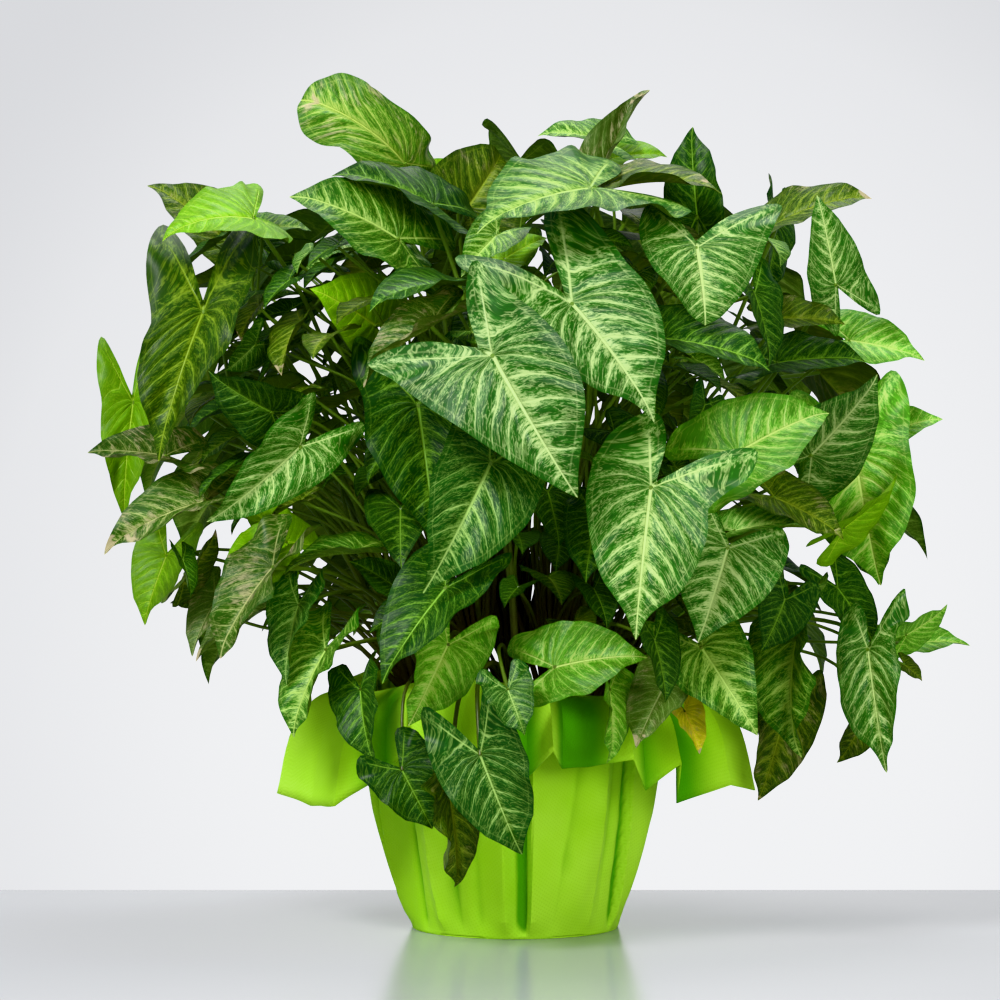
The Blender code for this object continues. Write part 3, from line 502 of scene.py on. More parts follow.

# A leafstalk is brown-green at its foot and clear green where it meets the blade. It is darker low down and
# near the pot's axis: partly its own brown foot, partly painted shade of the canopy's dark inside
stalk_paint, tree, shader = new_material("leafstalk", 0.42)
node = place_group(tree, grain_group, Place=object_place(tree), Size=500.0)
drift = Field(tree, node.outputs["Drift"])
fine = Field(tree, node.outputs["Grain"])
x, y, height = separate(tree, object_place(tree))
# Painted shade: the share of clear green grows with height and distance from the axis, so stalks deep inside
# the canopy stay dark
rise = (height * 0.8 + (x * x + y * y).math("SQRT") * 1.2 + drift * 0.08 - 0.04).step(0.15, 0.34)
stalk = mix(tree, rise, seen(52, 42, 24), seen(96, 128, 50))
stalk = mix(tree, fine.step(0.55, 0.75) * 0.4, stalk, seen(104, 104, 58))
tree.links.new(stalk, shader.inputs["Base Color"])
bump(tree, shader, fine, 0.2 * MM)
print("materials", len(bpy.data.materials))

# %% [markdown]
# ## Where the leaves stand
# The solids were placed by rule: each row names a leaf as it is seen from the front, in half millimetres,
# with the depth of the junction of blade and stalk and of the tip. The same rows and the same clearing test
# are used here, so each fine leaf lands on its own solid.

# %% Sizes shared with the solids
CLEAR = 0.3 * MM                 # gap between pieces that touch
# Pot, soil and fabric
POT_FLOOR_Z = 1.1 * MM
POT_RIM_Z = 115.0 * MM
POT_BASE_R = 50.0 * MM
POT_TOP_R = 69.5 * MM
POT_WALL = 1.4 * MM
POT_LIP = 2.0 * MM               # how far the rolled rim stands out
POT_LIP_HEIGHT = 9.0 * MM
SOIL_TOP_Z = 104.0 * MM
FABRIC = 0.8 * MM
PLEATS = 7
PLEAT_DEPTH = 8.0 * MM
WALL_RINGS = (                   # height, share of the pleat depth, slack of the cloth off the pot
    (26.0 * MM, 0.6, 1.6 * MM), (58.0 * MM, 0.9, 2.6 * MM), (88.0 * MM, 1.0, 2.0 * MM),
)
COLLAR_SHORT = 37.0 * MM
COLLAR_CORNERS = (               # azimuth of each corner of the square sheet and the collar's length there
    (194.0, 66.0 * MM), (342.0, 64.0 * MM), (80.0, 60.0 * MM), (262.0, 45.0 * MM),
)
CORNER_SPREAD = 48.0             # degrees from a corner to where the collar is short again
CREST_Z = 121.0 * MM
CREST_R = 75.5 * MM

# Crowns: the short stems that stand in the soil
STEM_R = 4.6 * MM
STEM_FOOT_Z = 78.0 * MM
STEM_TOP_Z = 122.0 * MM
CROWN_RINGS = ((1, 0.0, 0.0), (5, 27.0 * MM, 18.0), (8, 49.0 * MM, 0.0))

GOLDEN_ANGLE = math.radians(137.5)
ROOT_R = 1.9 * MM                # petioles start this far off the stem's axis
ROOT_Z = 109.0 * MM
ROOT_STEP = 2.0 * MM

# Leaves
HANGING = 12.0 * MM              # junctions lower than this above the collar hang in front of it
PETIOLE_R = 1.35 * MM
PETIOLE_R_SMALL = 1.05 * MM
PETIOLE_POINTS = 5               # one fewer below the large leaves
LARGE_LEAF = 60.0 * MM           # midribs from here up get the full outline
SMALL_LEAF = 40.0 * MM           # and those under this the plainest
TEST_BLADE = 1.3 * MM            # half thickness of the blade that stands in for a leaf in the clearing test
TEST_PETIOLE = 0.7 * MM          # added to a petiole's radius in that test
SEED = 20417

# The front view: half a millimetre a unit, from an eye 1.67 m in front
VIEW_UNIT = 0.5 * MM
VIEW_AXIS = 515.0
VIEW_BASE = 926.0
print("pot", round(2000 * POT_TOP_R), "mm across, soil at", round(1000 * SOIL_TOP_Z), "mm")

# %% The outline of a blade, and the rows of leaves
# The right half of a blade's outline between tip and sinus, for a midrib of 1: across, along
TIP = (0.0, 1.0)
SINUS = (0.0, -0.06)
HALF_OUTLINE = (
    (0.11, 0.86), (0.33, 0.63), (0.48, 0.30), (0.475, -0.02),
    (0.53, -0.33), (0.42, -0.60), (0.19, -0.42),
)
HALF_OUTLINE_MID = ((0.24, 0.72), (0.47, 0.24), (0.50, -0.30), (0.38, -0.58), (0.17, -0.36))
HALF_OUTLINE_SMALL = ((0.30, 0.62), (0.48, 0.12), (0.50, -0.40), (0.28, -0.56))
RIB_POINTS = ((0.0, 0.0), (0.0, 0.34), (0.0, 0.68), (0.32, -0.32), (-0.32, -0.32))
RIB_POINTS_MID = ((0.0, 0.0), (0.0, 0.48), (0.28, -0.28), (-0.28, -0.28))
RIB_POINTS_SMALL = ((0.0, 0.0), (0.0, 0.46))
OUTLINES = {
    "large": (HALF_OUTLINE, RIB_POINTS), "middle": (HALF_OUTLINE_MID, RIB_POINTS_MID),
    "small": (HALF_OUTLINE_SMALL, RIB_POINTS_SMALL),
}

# name, junction, tip, depth of junction and tip in mm, roll in degrees, width, fold, bend
# Roll 0 turns the upper face to the front, plus turns it to the right or up, minus to the left or down.
FRONT_LEAVES = (
    ("centre_large", (492, 355), (577, 498), -150, -170, -6, 1.06, 14, 0.5),
    ("upper_pale", (572, 303), (657, 420), -126, -146, 22, 0.98, 18, 0.5),
    ("right_large", (651, 487), (635, 640), -138, -152, -8, 0.84, 14, 0.4),
    ("low_right", (728, 548), (699, 642), -114, -134, 4, 1.10, 14, 0.4),
    ("young_right", (735, 530), (806, 523), -104, -112, 58, 0.80, 20, 0.3),
    ("top_right_large", (697, 247), (706, 325), -96, -106, 8, 1.40, 12, 0.5),
    ("hang_front", (480, 755), (522, 857), -128, -122, -10, 0.86, 18, 0.3),
    ("hang_left", (402, 770), (433, 830), -108, -108, 4, 1.10, 20, 0.4),
    ("hang_brown", (450, 797), (457, 890), -108, -94, 30, 0.60, 22, 0.4),
    ("bottom_light", (555, 667), (648, 655), -118, -126, 36, 1.00, 16, 0.5),
    ("bottom_bright", (448, 645), (409, 726), -112, -126, 8, 0.95, 26, 0.3),
    ("bottom_mid_right", (702, 648), (758, 735), -106, -124, 4, 0.86, 18, 0.4),
    ("top_olive", (601, 188), (724, 188), -70, -90, 66, 0.80, 14, 0.6),
    ("top_wide", (590, 187), (475, 228), -56, -88, 50, 1.05, 12, 0.5),
    ("curled_tan", (430, 325), (360, 385), -118, -126, -56, 0.72, 34, 0.6),
    ("low_right_curly", (795, 640), (797, 759), -74, -84, -58, 0.84, 30, 0.5),
    ("left_tall", (203, 311), (156, 461), -58, -78, -12, 0.56, 16, 0.5),
    ("left_dark", (418, 405), (436, 547), -108, -132, 6, 0.80, 18, 0.5),
    ("left_blue", (491, 463), (424, 594), -104, -124, 10, 0.80, 20, 0.5),
    ("left_mid_pale_tip", (300, 447), (207, 524), -96, -108, 20, 0.66, 16, 0.6),
    ("far_right_bright", (868, 650), (886, 774), -62, -72, -14, 0.54, 18, 0.4),
    ("right_high", (812, 455), (880, 376), -66, -74, 30, 1.00, 16, 0.3),
    ("right_mid_pale", (738, 452), (830, 409), -104, -92, 38, 1.10, 18, 0.4),
    ("top_round", (405, 163), (283, 92), -28, -40, 26, 0.66, 8, 1.3),
    ("top_pale", (398, 238), (290, 192), -72, -82, 46, 0.98, 14, 0.5),
    ("top_dark_a", (432, 203), (331, 171), -26, -34, 62, 0.92, 16, 0.5),
    ("dark_bright_rib", (665, 338), (772, 366), -98, -104, 60, 0.95, 22, 0.4),
    ("low_dark_rib", (445, 588), (380, 682), -98, -116, -28, 0.80, 20, 0.4),
    ("low_dark_left", (393, 585), (350, 560), -78, -84, 40, 0.90, 16, 0.3),
    ("low_dark_centre", (453, 590), (490, 556), -80, -86, 45, 0.90, 16, 0.3),
    ("bottom_folded", (508, 690), (525, 735), -112, -120, 10, 1.15, 26, 0.3),
    ("bottom_narrow", (610, 690), (610, 764), -112, -118, 62, 0.90, 22, 0.3),
    ("bottom_dark_small", (655, 640), (667, 703), -108, -116, 40, 0.85, 20, 0.3),
    ("bottom_grey", (662, 690), (635, 748), -108, -116, -20, 1.00, 22, 0.3),
    ("bottom_yellowed", (685, 712), (701, 754), -106, -110, 30, 0.90, 24, 0.3),
    ("left_low_dark", (360, 690), (373, 765), -92, -104, -38, 0.90, 22, 0.4),
    ("left_low_two_tone", (325, 650), (290, 737), -84, -94, -52, 1.00, 26, 0.4),
    ("left_dark_blue", (298, 605), (284, 684), -78, -90, -34, 0.80, 22, 0.4),
    ("left_yellow_veins", (259, 562), (222, 612), -74, -86, -16, 1.00, 20, 0.3),
    ("left_lime", (285, 541), (240, 500), -62, -66, 34, 1.00, 14, 0.3),
    ("left_folded_tan", (272, 567), (216, 657), -88, -98, -52, 0.80, 28, 0.4),
    ("left_under_a", (268, 605), (193, 659), -62, -72, -52, 0.72, 24, 0.4),
    ("left_under_b", (215, 600), (190, 656), -46, -54, -40, 0.80, 24, 0.3),
    ("left_backlit", (133, 402), (123, 520), -14, -22, -12, 0.48, 20, 0.4),
    ("left_folded_tip", (165, 455), (87, 450), -58, -64, 44, 0.80, 30, 0.3),
    ("left_sweep", (205, 500), (101, 551), -50, -62, 50, 0.66, 26, 0.5),
    ("left_edge_on", (166, 556), (143, 625), -20, -28, -24, 0.95, 20, 0.3),
    ("left_tan", (203, 605), (170, 602), -20, -26, 50, 0.80, 22, 0.3),
    ("left_rolled", (185, 577), (218, 530), -42, -44, 66, 0.80, 32, 0.3),
    ("left_narrow_dark", (183, 560), (192, 597), -66, -72, 56, 0.80, 20, 0.3),
    ("left_mid_dark", (271, 412), (207, 372), -78, -86, -28, 1.05, 18, 0.4),
    ("top_left_lime", (253, 218), (160, 238), -46, -64, 48, 1.00, 12, 0.9),
    ("top_left_olive", (225, 240), (148, 182), 22, 16, 44, 0.90, 14, 0.5),
    ("top_edge_on", (468, 207), (503, 151), -70, -36, 14, 1.10, 20, 0.5),
    ("top_bright_small", (455, 180), (420, 160), 6, 2, 44, 1.00, 16, 0.3),
    ("top_folded_pale", (597, 180), (647, 85), -64, -44, -40, 0.36, 30, 0.3),
    ("top_back_a", (605, 140), (537, 133), 10, 6, 54, 0.92, 14, 0.5),
    ("top_back_b", (612, 158), (668, 155), -6, -12, 50, 1.00, 14, 0.5),
    ("top_right_dark", (697, 215), (691, 125), -42, -36, -24, 0.72, 18, 0.3),
    ("upper_left_lit", (375, 325), (312, 288), -66, -92, 20, 1.15, 12, 0.5),
    ("upper_left_edge", (395, 258), (320, 248), -40, -48, 68, 0.85, 16, 0.4),
    ("left_edge_a", (218, 322), (302, 290), -30, -20, 68, 0.85, 18, 0.4),
    ("left_back_a", (255, 345), (225, 372), -42, -46, 40, 1.10, 16, 0.3),
    ("left_back_b", (262, 228), (313, 229), -2, 6, 56, 0.95, 16, 0.4),
    ("left_back_c", (262, 247), (302, 281), -16, -12, 44, 0.85, 16, 0.3),
    ("behind_lime", (505, 258), (548, 236), -58, -52, 40, 1.10, 16, 0.3),
    ("centre_dark_a", (548, 492), (560, 547), -86, -98, 20, 1.10, 18, 0.4),
    ("centre_dark_b", (596, 520), (585, 582), -80, -92, -20, 1.00, 18, 0.4),
    ("right_dark_small", (705, 405), (690, 437), -84, -90, 30, 1.20, 18, 0.3),
    ("top_far_right", (778, 222), (872, 194), -12, -18, 62, 0.80, 16, 0.5),
    ("right_top_lit", (836, 284), (818, 195), -34, -42, 6, 0.66, 14, 0.3),
    ("right_narrow_a", (775, 222), (765, 296), -8, -16, 60, 0.85, 18, 0.3),
    ("right_cluster_a", (755, 293), (772, 366), -56, -66, 48, 0.85, 18, 0.3),
    ("right_cluster_b", (780, 318), (846, 322), -40, -48, 50, 0.90, 18, 0.3),
    ("right_cluster_c", (778, 362), (866, 358), -28, -34, 56, 0.85, 18, 0.3),
    ("right_light", (850, 340), (926, 358), -22, -28, 42, 1.00, 14, 0.3),
    ("right_edge_light", (865, 440), (943, 416), -18, -22, 46, 0.85, 14, 0.3),
    ("right_pale_big", (855, 455), (880, 587), -26, -34, -16, 0.92, 14, 0.4),
    ("right_lime_narrow", (845, 528), (900, 476), -52, -50, 56, 0.80, 18, 0.3),
    ("right_variegated", (860, 528), (880, 585), -48, -54, 20, 0.95, 18, 0.3),
    ("right_olive", (775, 497), (846, 538), -86, -92, 44, 0.80, 18, 0.4),
    ("right_low_dark", (838, 588), (877, 647), -46, -52, 26, 0.80, 18, 0.3),
    ("far_right_behind", (866, 716), (838, 764), -40, -44, 30, 0.90, 18, 0.3),
    ("far_right_a", (907, 635), (949, 605), -40, -42, 40, 0.85, 16, 0.3),
    ("far_right_b", (900, 643), (971, 643), -30, -34, 50, 0.72, 16, 0.3),
    ("far_right_c", (905, 665), (923, 681), -52, -54, 40, 0.95, 16, 0.3),
    ("low_right_back", (785, 600), (762, 652), -82, -88, 20, 1.15, 18, 0.3),
    ("low_right_olive", (785, 712), (759, 802), -52, -58, 12, 0.80, 20, 0.4),
)

# Blades with uneven lobes: skew along the midrib, length of the lobes, sway of the lobes across
LOBES = {
    "centre_large": (0.31, 0.92, 0.40), "upper_pale": (0.0, 1.55, -0.15),
    "right_large": (-0.30, 0.70, -0.62), "left_tall": (0.42, 1.20, 0.72),
    "low_right": (-0.12, 0.80, -0.05), "top_right_large": (0.10, 1.15, -0.50),
    "top_left_lime": (0.10, 0.80, 0.60), "left_backlit": (0.10, 1.00, 0.60),
    "left_mid_pale_tip": (0.30, 0.90, 0.0), "right_top_lit": (0.20, 0.90, 0.45),
    "far_right_bright": (0.0, 0.70, -0.50), "hang_brown": (0.0, 0.60, 0.0),
    "top_round": (0.0, 0.60, 0.0), "left_low_dark": (0.0, 0.80, 0.0), "hang_left": (0.2, 0.9, 0.2),
}
BLUNT = ("top_round",)           # the tip is curled under, so the blade ends round

# Leaves of the sides and the back, which the front view hides: rows of azimuths round the canopy
BACK_ROWS = (
    # height of the junction, radius across, radius in depth, azimuths from +X, midrib
    (165.0, 150.0, 122.0, (18, 66, 112, 160), 56.0),
    (225.0, 172.0, 132.0, (30, 58, 88, 120, 150), 66.0),
    (285.0, 176.0, 136.0, (14, 50, 84, 118, 150), 74.0),
    (340.0, 150.0, 118.0, (32, 70, 104, 140), 70.0),
    (362.0, 92.0, 84.0, (40, 90, 140), 62.0),
    (372.0, 26.0, 20.0, (80,), 56.0),
)
BACK_ROLL = 16.0
BACK_SPREAD = 8.0 * MM
BACK_TRIES = 14
BACK_TOP = 350.0                 # from this height up, in mm, leaves fall less steeply
print(len(FRONT_LEAVES), "leaves of the front,", sum(len(row[3]) for row in BACK_ROWS), "round the back")


# %% The cloth's own shape, which leaves keep clear of
def pot_radius(z):
    share = (z - POT_FLOOR_Z) / (POT_RIM_Z - POT_FLOOR_Z)
    return POT_BASE_R + (POT_TOP_R - POT_BASE_R) * share


def pleat(angle, phase=-2.8):
    """0 in a valley and 1 on a ridge of the fabric's pleats."""
    wave = math.sin(PLEATS * angle + 0.9 * math.sin(2 * angle + 0.6) + phase)
    return (0.5 + 0.5 * wave) ** 1.5


def collar_length(angle):
    """Longer towards each corner of the square sheet."""
    best = COLLAR_SHORT
    for corner, length in COLLAR_CORNERS:
        away = abs((math.degrees(angle) - corner + 180.0) % 360.0 - 180.0)
        near = max(0.0, 1.0 - away / CORNER_SPREAD)
        best = max(best, COLLAR_SHORT + (length - COLLAR_SHORT) * near ** 1.15)
    return best


def fabric_rings(angle):
    """Radius and height of the sheet's middle surface, from the centre of its base to its edge."""
    flat_z = FABRIC / 2
    ridge = pleat(angle)
    gap = CLEAR + FABRIC * 0.75
    rings = [(0.45 * POT_BASE_R, flat_z), (POT_BASE_R + 1.0 * MM, flat_z)]
    rings.append((pot_radius(4 * MM) + gap + 0.5 * MM, 3.2 * MM))
    for z, share, slack in WALL_RINGS:
        rings.append((pot_radius(z) + gap + slack + PLEAT_DEPTH * share * ridge, z))
    crest_z = CREST_Z + 5 * MM * math.sin(3 * angle + 1.0)
    crest_r = CREST_R + 3.5 * MM * ridge
    rings.append((crest_r - 1.2 * MM, crest_z - 12 * MM))
    rings.append((crest_r, crest_z))
    length = collar_length(angle)
    ruffle = 5 * MM * math.sin(PLEATS * angle + 2.2)
    for out, down in ((0.28, 0.02), (0.49, 0.31), (0.58, 0.82)):
        rings.append((crest_r + out * length + 0.4 * ruffle * down, crest_z - down * length + ruffle * out))
    return rings


print("the collar hangs", round(1000 * collar_length(math.radians(270.0))), "mm at the front")


# %% A leaf: its bent and waved surface, its outline and its stalk
def seen_at(spot, depth):
    """The point at this depth that lies on the line of sight of the front view's spot."""
    flat = Vector(((spot[0] - VIEW_AXIS) * VIEW_UNIT, 0.0, (VIEW_BASE - spot[1]) * VIEW_UNIT))
    share = (depth - EYE.y) / -EYE.y
    return EYE + (flat - EYE) * share


class Leaf:
    def __init__(self, name, junction, tip, roll, width, fold, bend):
        self.name = name
        self.inner = name.startswith("inner")
        self.junction = junction
        self.length = (tip - junction).length
        self.along = (tip - junction).normalized()
        self.width = width
        self.fold = math.radians(fold)
        self.bend = bend
        front = Vector((0.0, -1.0, 0.0))
        if abs(self.along.y) > 0.92:
            front = Vector((0.0, 0.0, 1.0))
        facing = (front - self.along * front.dot(self.along)).normalized()
        side = self.along.cross(facing)
        if side.dot(Vector((1.0, 0.0, 0.6))) < 0:
            side = -side
        self.roll_over(facing, side, roll)
        self.skew, self.lobe, self.sway = LOBES.get(name, (0.0, 1.0, 0.0))
        self.blunt = name in BLUNT
        self.phase = (self.length * 7919 + junction.x * 3571) % 1.0 * math.tau

    def roll_over(self, facing, side, roll):
        """Turns the upper face from where it is facing towards the side, by the roll in degrees."""
        turn = math.radians(roll)
        self.normal = (facing * math.cos(turn) + side * math.sin(turn)).normalized()
        self.across = self.along.cross(self.normal)

    def face_out(self, out, roll):
        """Turns the upper face outwards and up, for a leaf that hangs on the outside of the canopy."""
        face = out * 0.75 + Vector((0.0, 0.0, 0.8))
        face = (face - self.along * face.dot(self.along)).normalized()
        self.roll_over(face, self.along.cross(face), roll)

    def surface(self, x, y):
        """World points of the blade at x across and y along, for a midrib of 1. x and y are arrays."""
        x = np.array(x, float)
        y = np.array(y, float)
        k = self.bend
        rise = 0.5 * k
        if self.blunt:
            x = np.where(y > 0.5, x * (1.0 + 2.2 * (y - 0.5)), x)
            y = np.where(y > 0.5, y - 0.25 * (y - 0.5), y)
        back = np.maximum(0.0, -y)
        y = y + (self.skew * x * (1.0 - np.maximum(0.0, y)) - (self.lobe - 1.0) * back)
        x = x + self.sway * back
        arc_y = np.sin(k * y) / k
        arc_z = -(1.0 - np.cos(k * y)) / k
        side = np.sqrt(x * x + 0.0016) - 0.04
        up = side * math.sin(self.fold)
        out = x * np.cos(self.fold * np.minimum(1.0, side * 4.0))
        reach = np.minimum(1.0, np.hypot(x, y) / 0.6)
        wave = 0.020 * reach ** 3 * np.sin(5.0 * np.arctan2(x, y) + self.phase) * np.minimum(1.0, side * 6.0)
        lift = arc_z + up + wave - 0.16 * side * side
        y_turned = arc_y * math.cos(rise) - lift * math.sin(rise)
        z_turned = arc_y * math.sin(rise) + lift * math.cos(rise)
        size = self.length / (2.0 * math.sin(k / 2) / k)
        axes = np.array([self.across * self.width, self.along, self.normal])
        return np.array(self.junction) + np.stack([out, y_turned, z_turned], axis=-1) * size @ axes

    def tier(self):
        """Which of the three outlines the leaf has."""
        if self.length >= LARGE_LEAF:
            return "large"
        return "middle" if self.length >= SMALL_LEAF else "small"

    def flat_mesh(self):
        """Outline and rib points of the solid's blade, in its own plane, and the triangles between them."""
        half, ribs = OUTLINES[self.tier()]
        outline = [TIP, *half, SINUS, *((-x, y) for x, y in reversed(half))]
        flat = [Vector(p) for p in (*outline, *ribs)]
        rim = [(i, (i + 1) % len(outline)) for i in range(len(outline))]
        found = delaunay_2d_cdt(flat, rim, [], 1, 1e-7)
        return found[0], [tuple(face) for face in found[2]]

    def blade(self):
        """The solid's blade: its points, and its triangles with the upper face outwards."""
        flat, faces = self.flat_mesh()
        points = [Vector(p) for p in self.surface([p.x for p in flat], [p.y for p in flat])]
        turned = []
        for a, b, c in faces:
            normal = (points[b] - points[a]).cross(points[c] - points[a])
            turned.append((a, b, c) if normal.dot(self.normal) > 0 else (a, c, b))
        return points, turned

    def petiole_r(self):
        return PETIOLE_R_SMALL if self.tier() == "small" else PETIOLE_R

    def petiole(self, crown, bow, order):
        """Points of the petiole, from inside the crown's stem to just inside the blade."""
        turn = order * GOLDEN_ANGLE
        root = Vector((
            crown[0] + ROOT_R * math.cos(turn), crown[1] + ROOT_R * math.sin(turn),
            ROOT_Z + ROOT_STEP * (order % 5),
        ))
        end = Vector(self.surface(0.0, 0.004)) - self.normal * 0.25 * MM
        span = (end - root).length
        out = Vector((end.x - root.x, end.y - root.y, 0.0))
        out = out.normalized() if out.length > 1e-6 else Vector((0.0, -1.0, 0.0))
        away, lift, twist = bow
        side = out.cross(Vector((0.0, 0.0, 1.0)))
        lean = Vector((0.0, 0.0, 1.0)) * (0.62 + lift) + out * (0.10 + away) + side * twist
        first = root + lean * span * 0.62
        first.z = max(first.z, CREST_Z + 26 * MM)
        back = (-self.normal * 0.85 - self.along * 0.52 + Vector((0.0, 0.0, 0.15))).normalized()
        if end.z < CREST_Z + HANGING:
            back = (-self.along * 0.95 - self.normal * 0.15).normalized()
        second = end + back * min(0.34 * span, 60 * MM)
        second.z = max(second.z, 0.5 * (end.z + CREST_Z))
        if end.z < CREST_Z + HANGING:
            second.z = max(second.z, CREST_Z + 2 * HANGING)
        points = []
        count = PETIOLE_POINTS - (self.tier() != "large")
        for i in range(count):
            t = (i / (count - 1)) ** 0.92
            s = 1.0 - t
            points.append(
                root * s ** 3 + first * (3 * s * s * t) + second * (3 * s * t * t) + end * t ** 3
            )
        return points


print("the pot's axis meets the table at", [round(v, 4) for v in seen_at((VIEW_AXIS, VIEW_BASE), 0.0)])


# %% Search trees of blades and stalks
def shell_tree(points, faces, half):
    """Points and a search tree of the blade made thicker than it is."""
    normals = [Vector((0.0, 0.0, 0.0)) for _ in points]
    for a, b, c in faces:
        n = (points[b] - points[a]).cross(points[c] - points[a])
        for i in (a, b, c):
            normals[i] += n
    up = [p + n.normalized() * half for p, n in zip(points, normals)]
    down = [p - n.normalized() * half for p, n in zip(points, normals)]
    count = len(points)
    edges = {}
    for face in faces:
        for i in range(3):
            pair = (face[i], face[(i + 1) % 3])
            key = tuple(sorted(pair))
            edges[key] = None if key in edges else pair
    rim = []
    for pair in edges.values():
        if pair:
            a, b = pair
            rim += [(a, b, b + count), (a, b + count, a + count)]
    every = up + down
    tris = [*faces, *((a + count, c + count, b + count) for a, b, c in faces), *rim]
    return every, BVHTree.FromPolygons(every, tris)


def tube_tree(path, radius):
    """Points and a search tree of a four-sided tube along the path."""
    points = []
    tris = []
    for i, p in enumerate(path):
        ahead = (path[min(i + 1, len(path) - 1)] - path[max(i - 1, 0)]).normalized()
        side = ahead.cross(Vector((0.31, 0.87, 0.38))).normalized()
        up = ahead.cross(side)
        points += [p + side * radius, p + up * radius, p - side * radius, p - up * radius]
    for i in range(len(path) - 1):
        for k in range(4):
            a, b = 4 * i + k, 4 * i + (k + 1) % 4
            tris += [(a, b, b + 4), (a, b + 4, a + 4)]
    tris += [(0, 1, 2), (0, 2, 3)]
    last = 4 * (len(path) - 1)
    tris += [(last, last + 1, last + 2), (last, last + 2, last + 3)]
    return points, BVHTree.FromPolygons(points, tris)


class Body:
    """Something a leaf has to stay clear of: its box, its tree and the crown that it belongs to."""

    def __init__(self, kind, crown, points, tree):
        self.kind = kind
        self.crown = crown
        self.low = [min(p[i] for p in points) for i in range(3)]
        self.high = [max(p[i] for p in points) for i in range(3)]
        self.tree = tree

    def meets(self, other):
        for i in range(3):
            if self.low[i] > other.high[i] or other.low[i] > self.high[i]:
                return False
        return bool(self.tree.overlap(other.tree))


print("leaves keep", TEST_BLADE / MM, "mm to each side of a blade clear")

# %% Crowns, and leaves that keep clear of one another
# How far a petiole leans out at its foot, how much more it rises and how far it leans to one side
BOWS = (
    (0.0, 0.0, 0.0), (0.10, 0.0, 0.0), (0.0, 0.0, 0.16), (0.0, 0.0, -0.16), (0.10, 0.06, 0.10),
    (0.10, 0.06, -0.10), (0.22, 0.0, 0.0), (-0.08, 0.10, 0.0), (0.0, 0.14, 0.26), (0.0, 0.14, -0.26),
    (0.22, -0.1, 0.2), (0.22, -0.1, -0.2), (0.34, -0.16, 0.0), (0.05, 0.2, 0.4), (0.05, 0.2, -0.4),
)
# How far a leaf of the front may move in depth to be clear, in mm
DEPTH_STEPS = (0, 5, -5, 10, -10, 16, -16, 22, -22, 30, -30, 38, -38, 48, 60, 72)
NEAR_CROWNS = 3                  # crowns that are tried for a leaf
CROWN_SHARE = 0.27               # a leaf's crown is nearest to this share of the way out to the leaf
Placed = namedtuple("Placed", "leaf points path crown")


def crown_spots():
    spots = []
    for count, radius, first in CROWN_RINGS:
        for i in range(count):
            angle = math.radians(first) + math.tau * i / count
            spots.append((radius * math.cos(angle), radius * math.sin(angle)))
    return spots


def crowns_near(junction):
    """The numbers of the crowns that a leaf with this junction may grow from, the nearest first."""
    goal = (CROWN_SHARE * junction.x, CROWN_SHARE * junction.y)
    order = sorted(
        range(len(crowns)),
        key=lambda i: math.hypot(crowns[i][0] - goal[0], crowns[i][1] - goal[1]),
    )
    return order[:NEAR_CROWNS]


# What is placed so far, how many leaves each crown has, and the bodies that a new leaf keeps clear of
crowns = crown_spots()
placed = []
taken = {}
wrap_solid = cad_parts["pot_wrap"].data
wrap_points = [v.co.copy() for v in wrap_solid.vertices]
wrap_tree = BVHTree.FromPolygons(wrap_points, [tuple(p.vertices) for p in wrap_solid.polygons])
bodies = [Body("wrap", -1, wrap_points, wrap_tree)]
for number, (x, y) in enumerate(crowns):
    path = [Vector((x, y, STEM_FOOT_Z)), Vector((x, y, STEM_TOP_Z))]
    bodies.append(Body("stem", number, *tube_tree(path, STEM_R + TEST_PETIOLE)))


def try_leaf(leaf, among_stalks=False):
    """Keeps the leaf and is true where its blade and a petiole to a crown near by are clear of the rest."""
    points, faces = leaf.blade()
    blade = Body("blade", -1, *shell_tree(points, faces, TEST_BLADE))
    if any(blade.meets(body) for body in bodies):
        return False
    for crown in crowns_near(leaf.junction):
        others = [
            body for body in bodies
            if body.kind in ("blade", "wrap") or (body.crown != crown and not among_stalks)
        ]
        for bow in BOWS:
            path = leaf.petiole(crowns[crown], bow, taken.get(crown, 0))
            tube = Body("petiole", crown, *tube_tree(path, leaf.petiole_r() + TEST_PETIOLE))
            if not any(tube.meets(body) for body in others):
                blade.crown = crown
                placed.append(Placed(leaf, points, path, crown))
                taken[crown] = taken.get(crown, 0) + 1
                bodies.extend((blade, tube))
                return True
    return False


print(len(crowns), "crowns,", len(BOWS), "ways for a petiole to bow")


# %% Place the leaves of the solids
def front_tries(name, junction, tip, depth_a, depth_b, roll, width, fold, bend):
    """A leaf of the front, at one depth after another, the one that is meant first."""
    for step in DEPTH_STEPS:
        near = seen_at(junction, (depth_a + step) * MM)
        far = seen_at(tip, (depth_b + step) * MM)
        yield Leaf(name, near, far, roll, width, fold, bend)


def back_tries(draw, row, azimuth, height, wide, deep, midrib):
    """A leaf of the sides or the back, drawn again and again, each time a little further in."""
    for attempt in range(BACK_TRIES):
        angle = math.radians(azimuth + draw.uniform(-9, 9))
        spread = draw.uniform(-1, 1) * BACK_SPREAD - attempt * 1.5 * MM
        out = Vector((math.cos(angle), math.sin(angle), 0.0))
        spot = Vector((
            (wide * MM + spread) * math.cos(angle), (deep * MM + spread) * math.sin(angle),
            height * MM + draw.uniform(-12, 12) * MM,
        ))
        size = midrib * MM * draw.uniform(0.82, 1.15)
        swing = out.cross(Vector((0.0, 0.0, 1.0))) * draw.uniform(-0.6, 0.6)
        fall = draw.uniform(0.5, 1.1) if height < BACK_TOP else draw.uniform(0.0, 0.5)
        along = (out * 0.6 + swing - Vector((0.0, 0.0, fall))).normalized()
        leaf = Leaf(f"back_{row}_{azimuth}", spot, spot + along * size, 0.0,
                    draw.uniform(0.85, 1.05), draw.uniform(10, 20), draw.uniform(0.3, 0.6))
        leaf.face_out(out, draw.uniform(-BACK_ROLL, BACK_ROLL))
        yield leaf


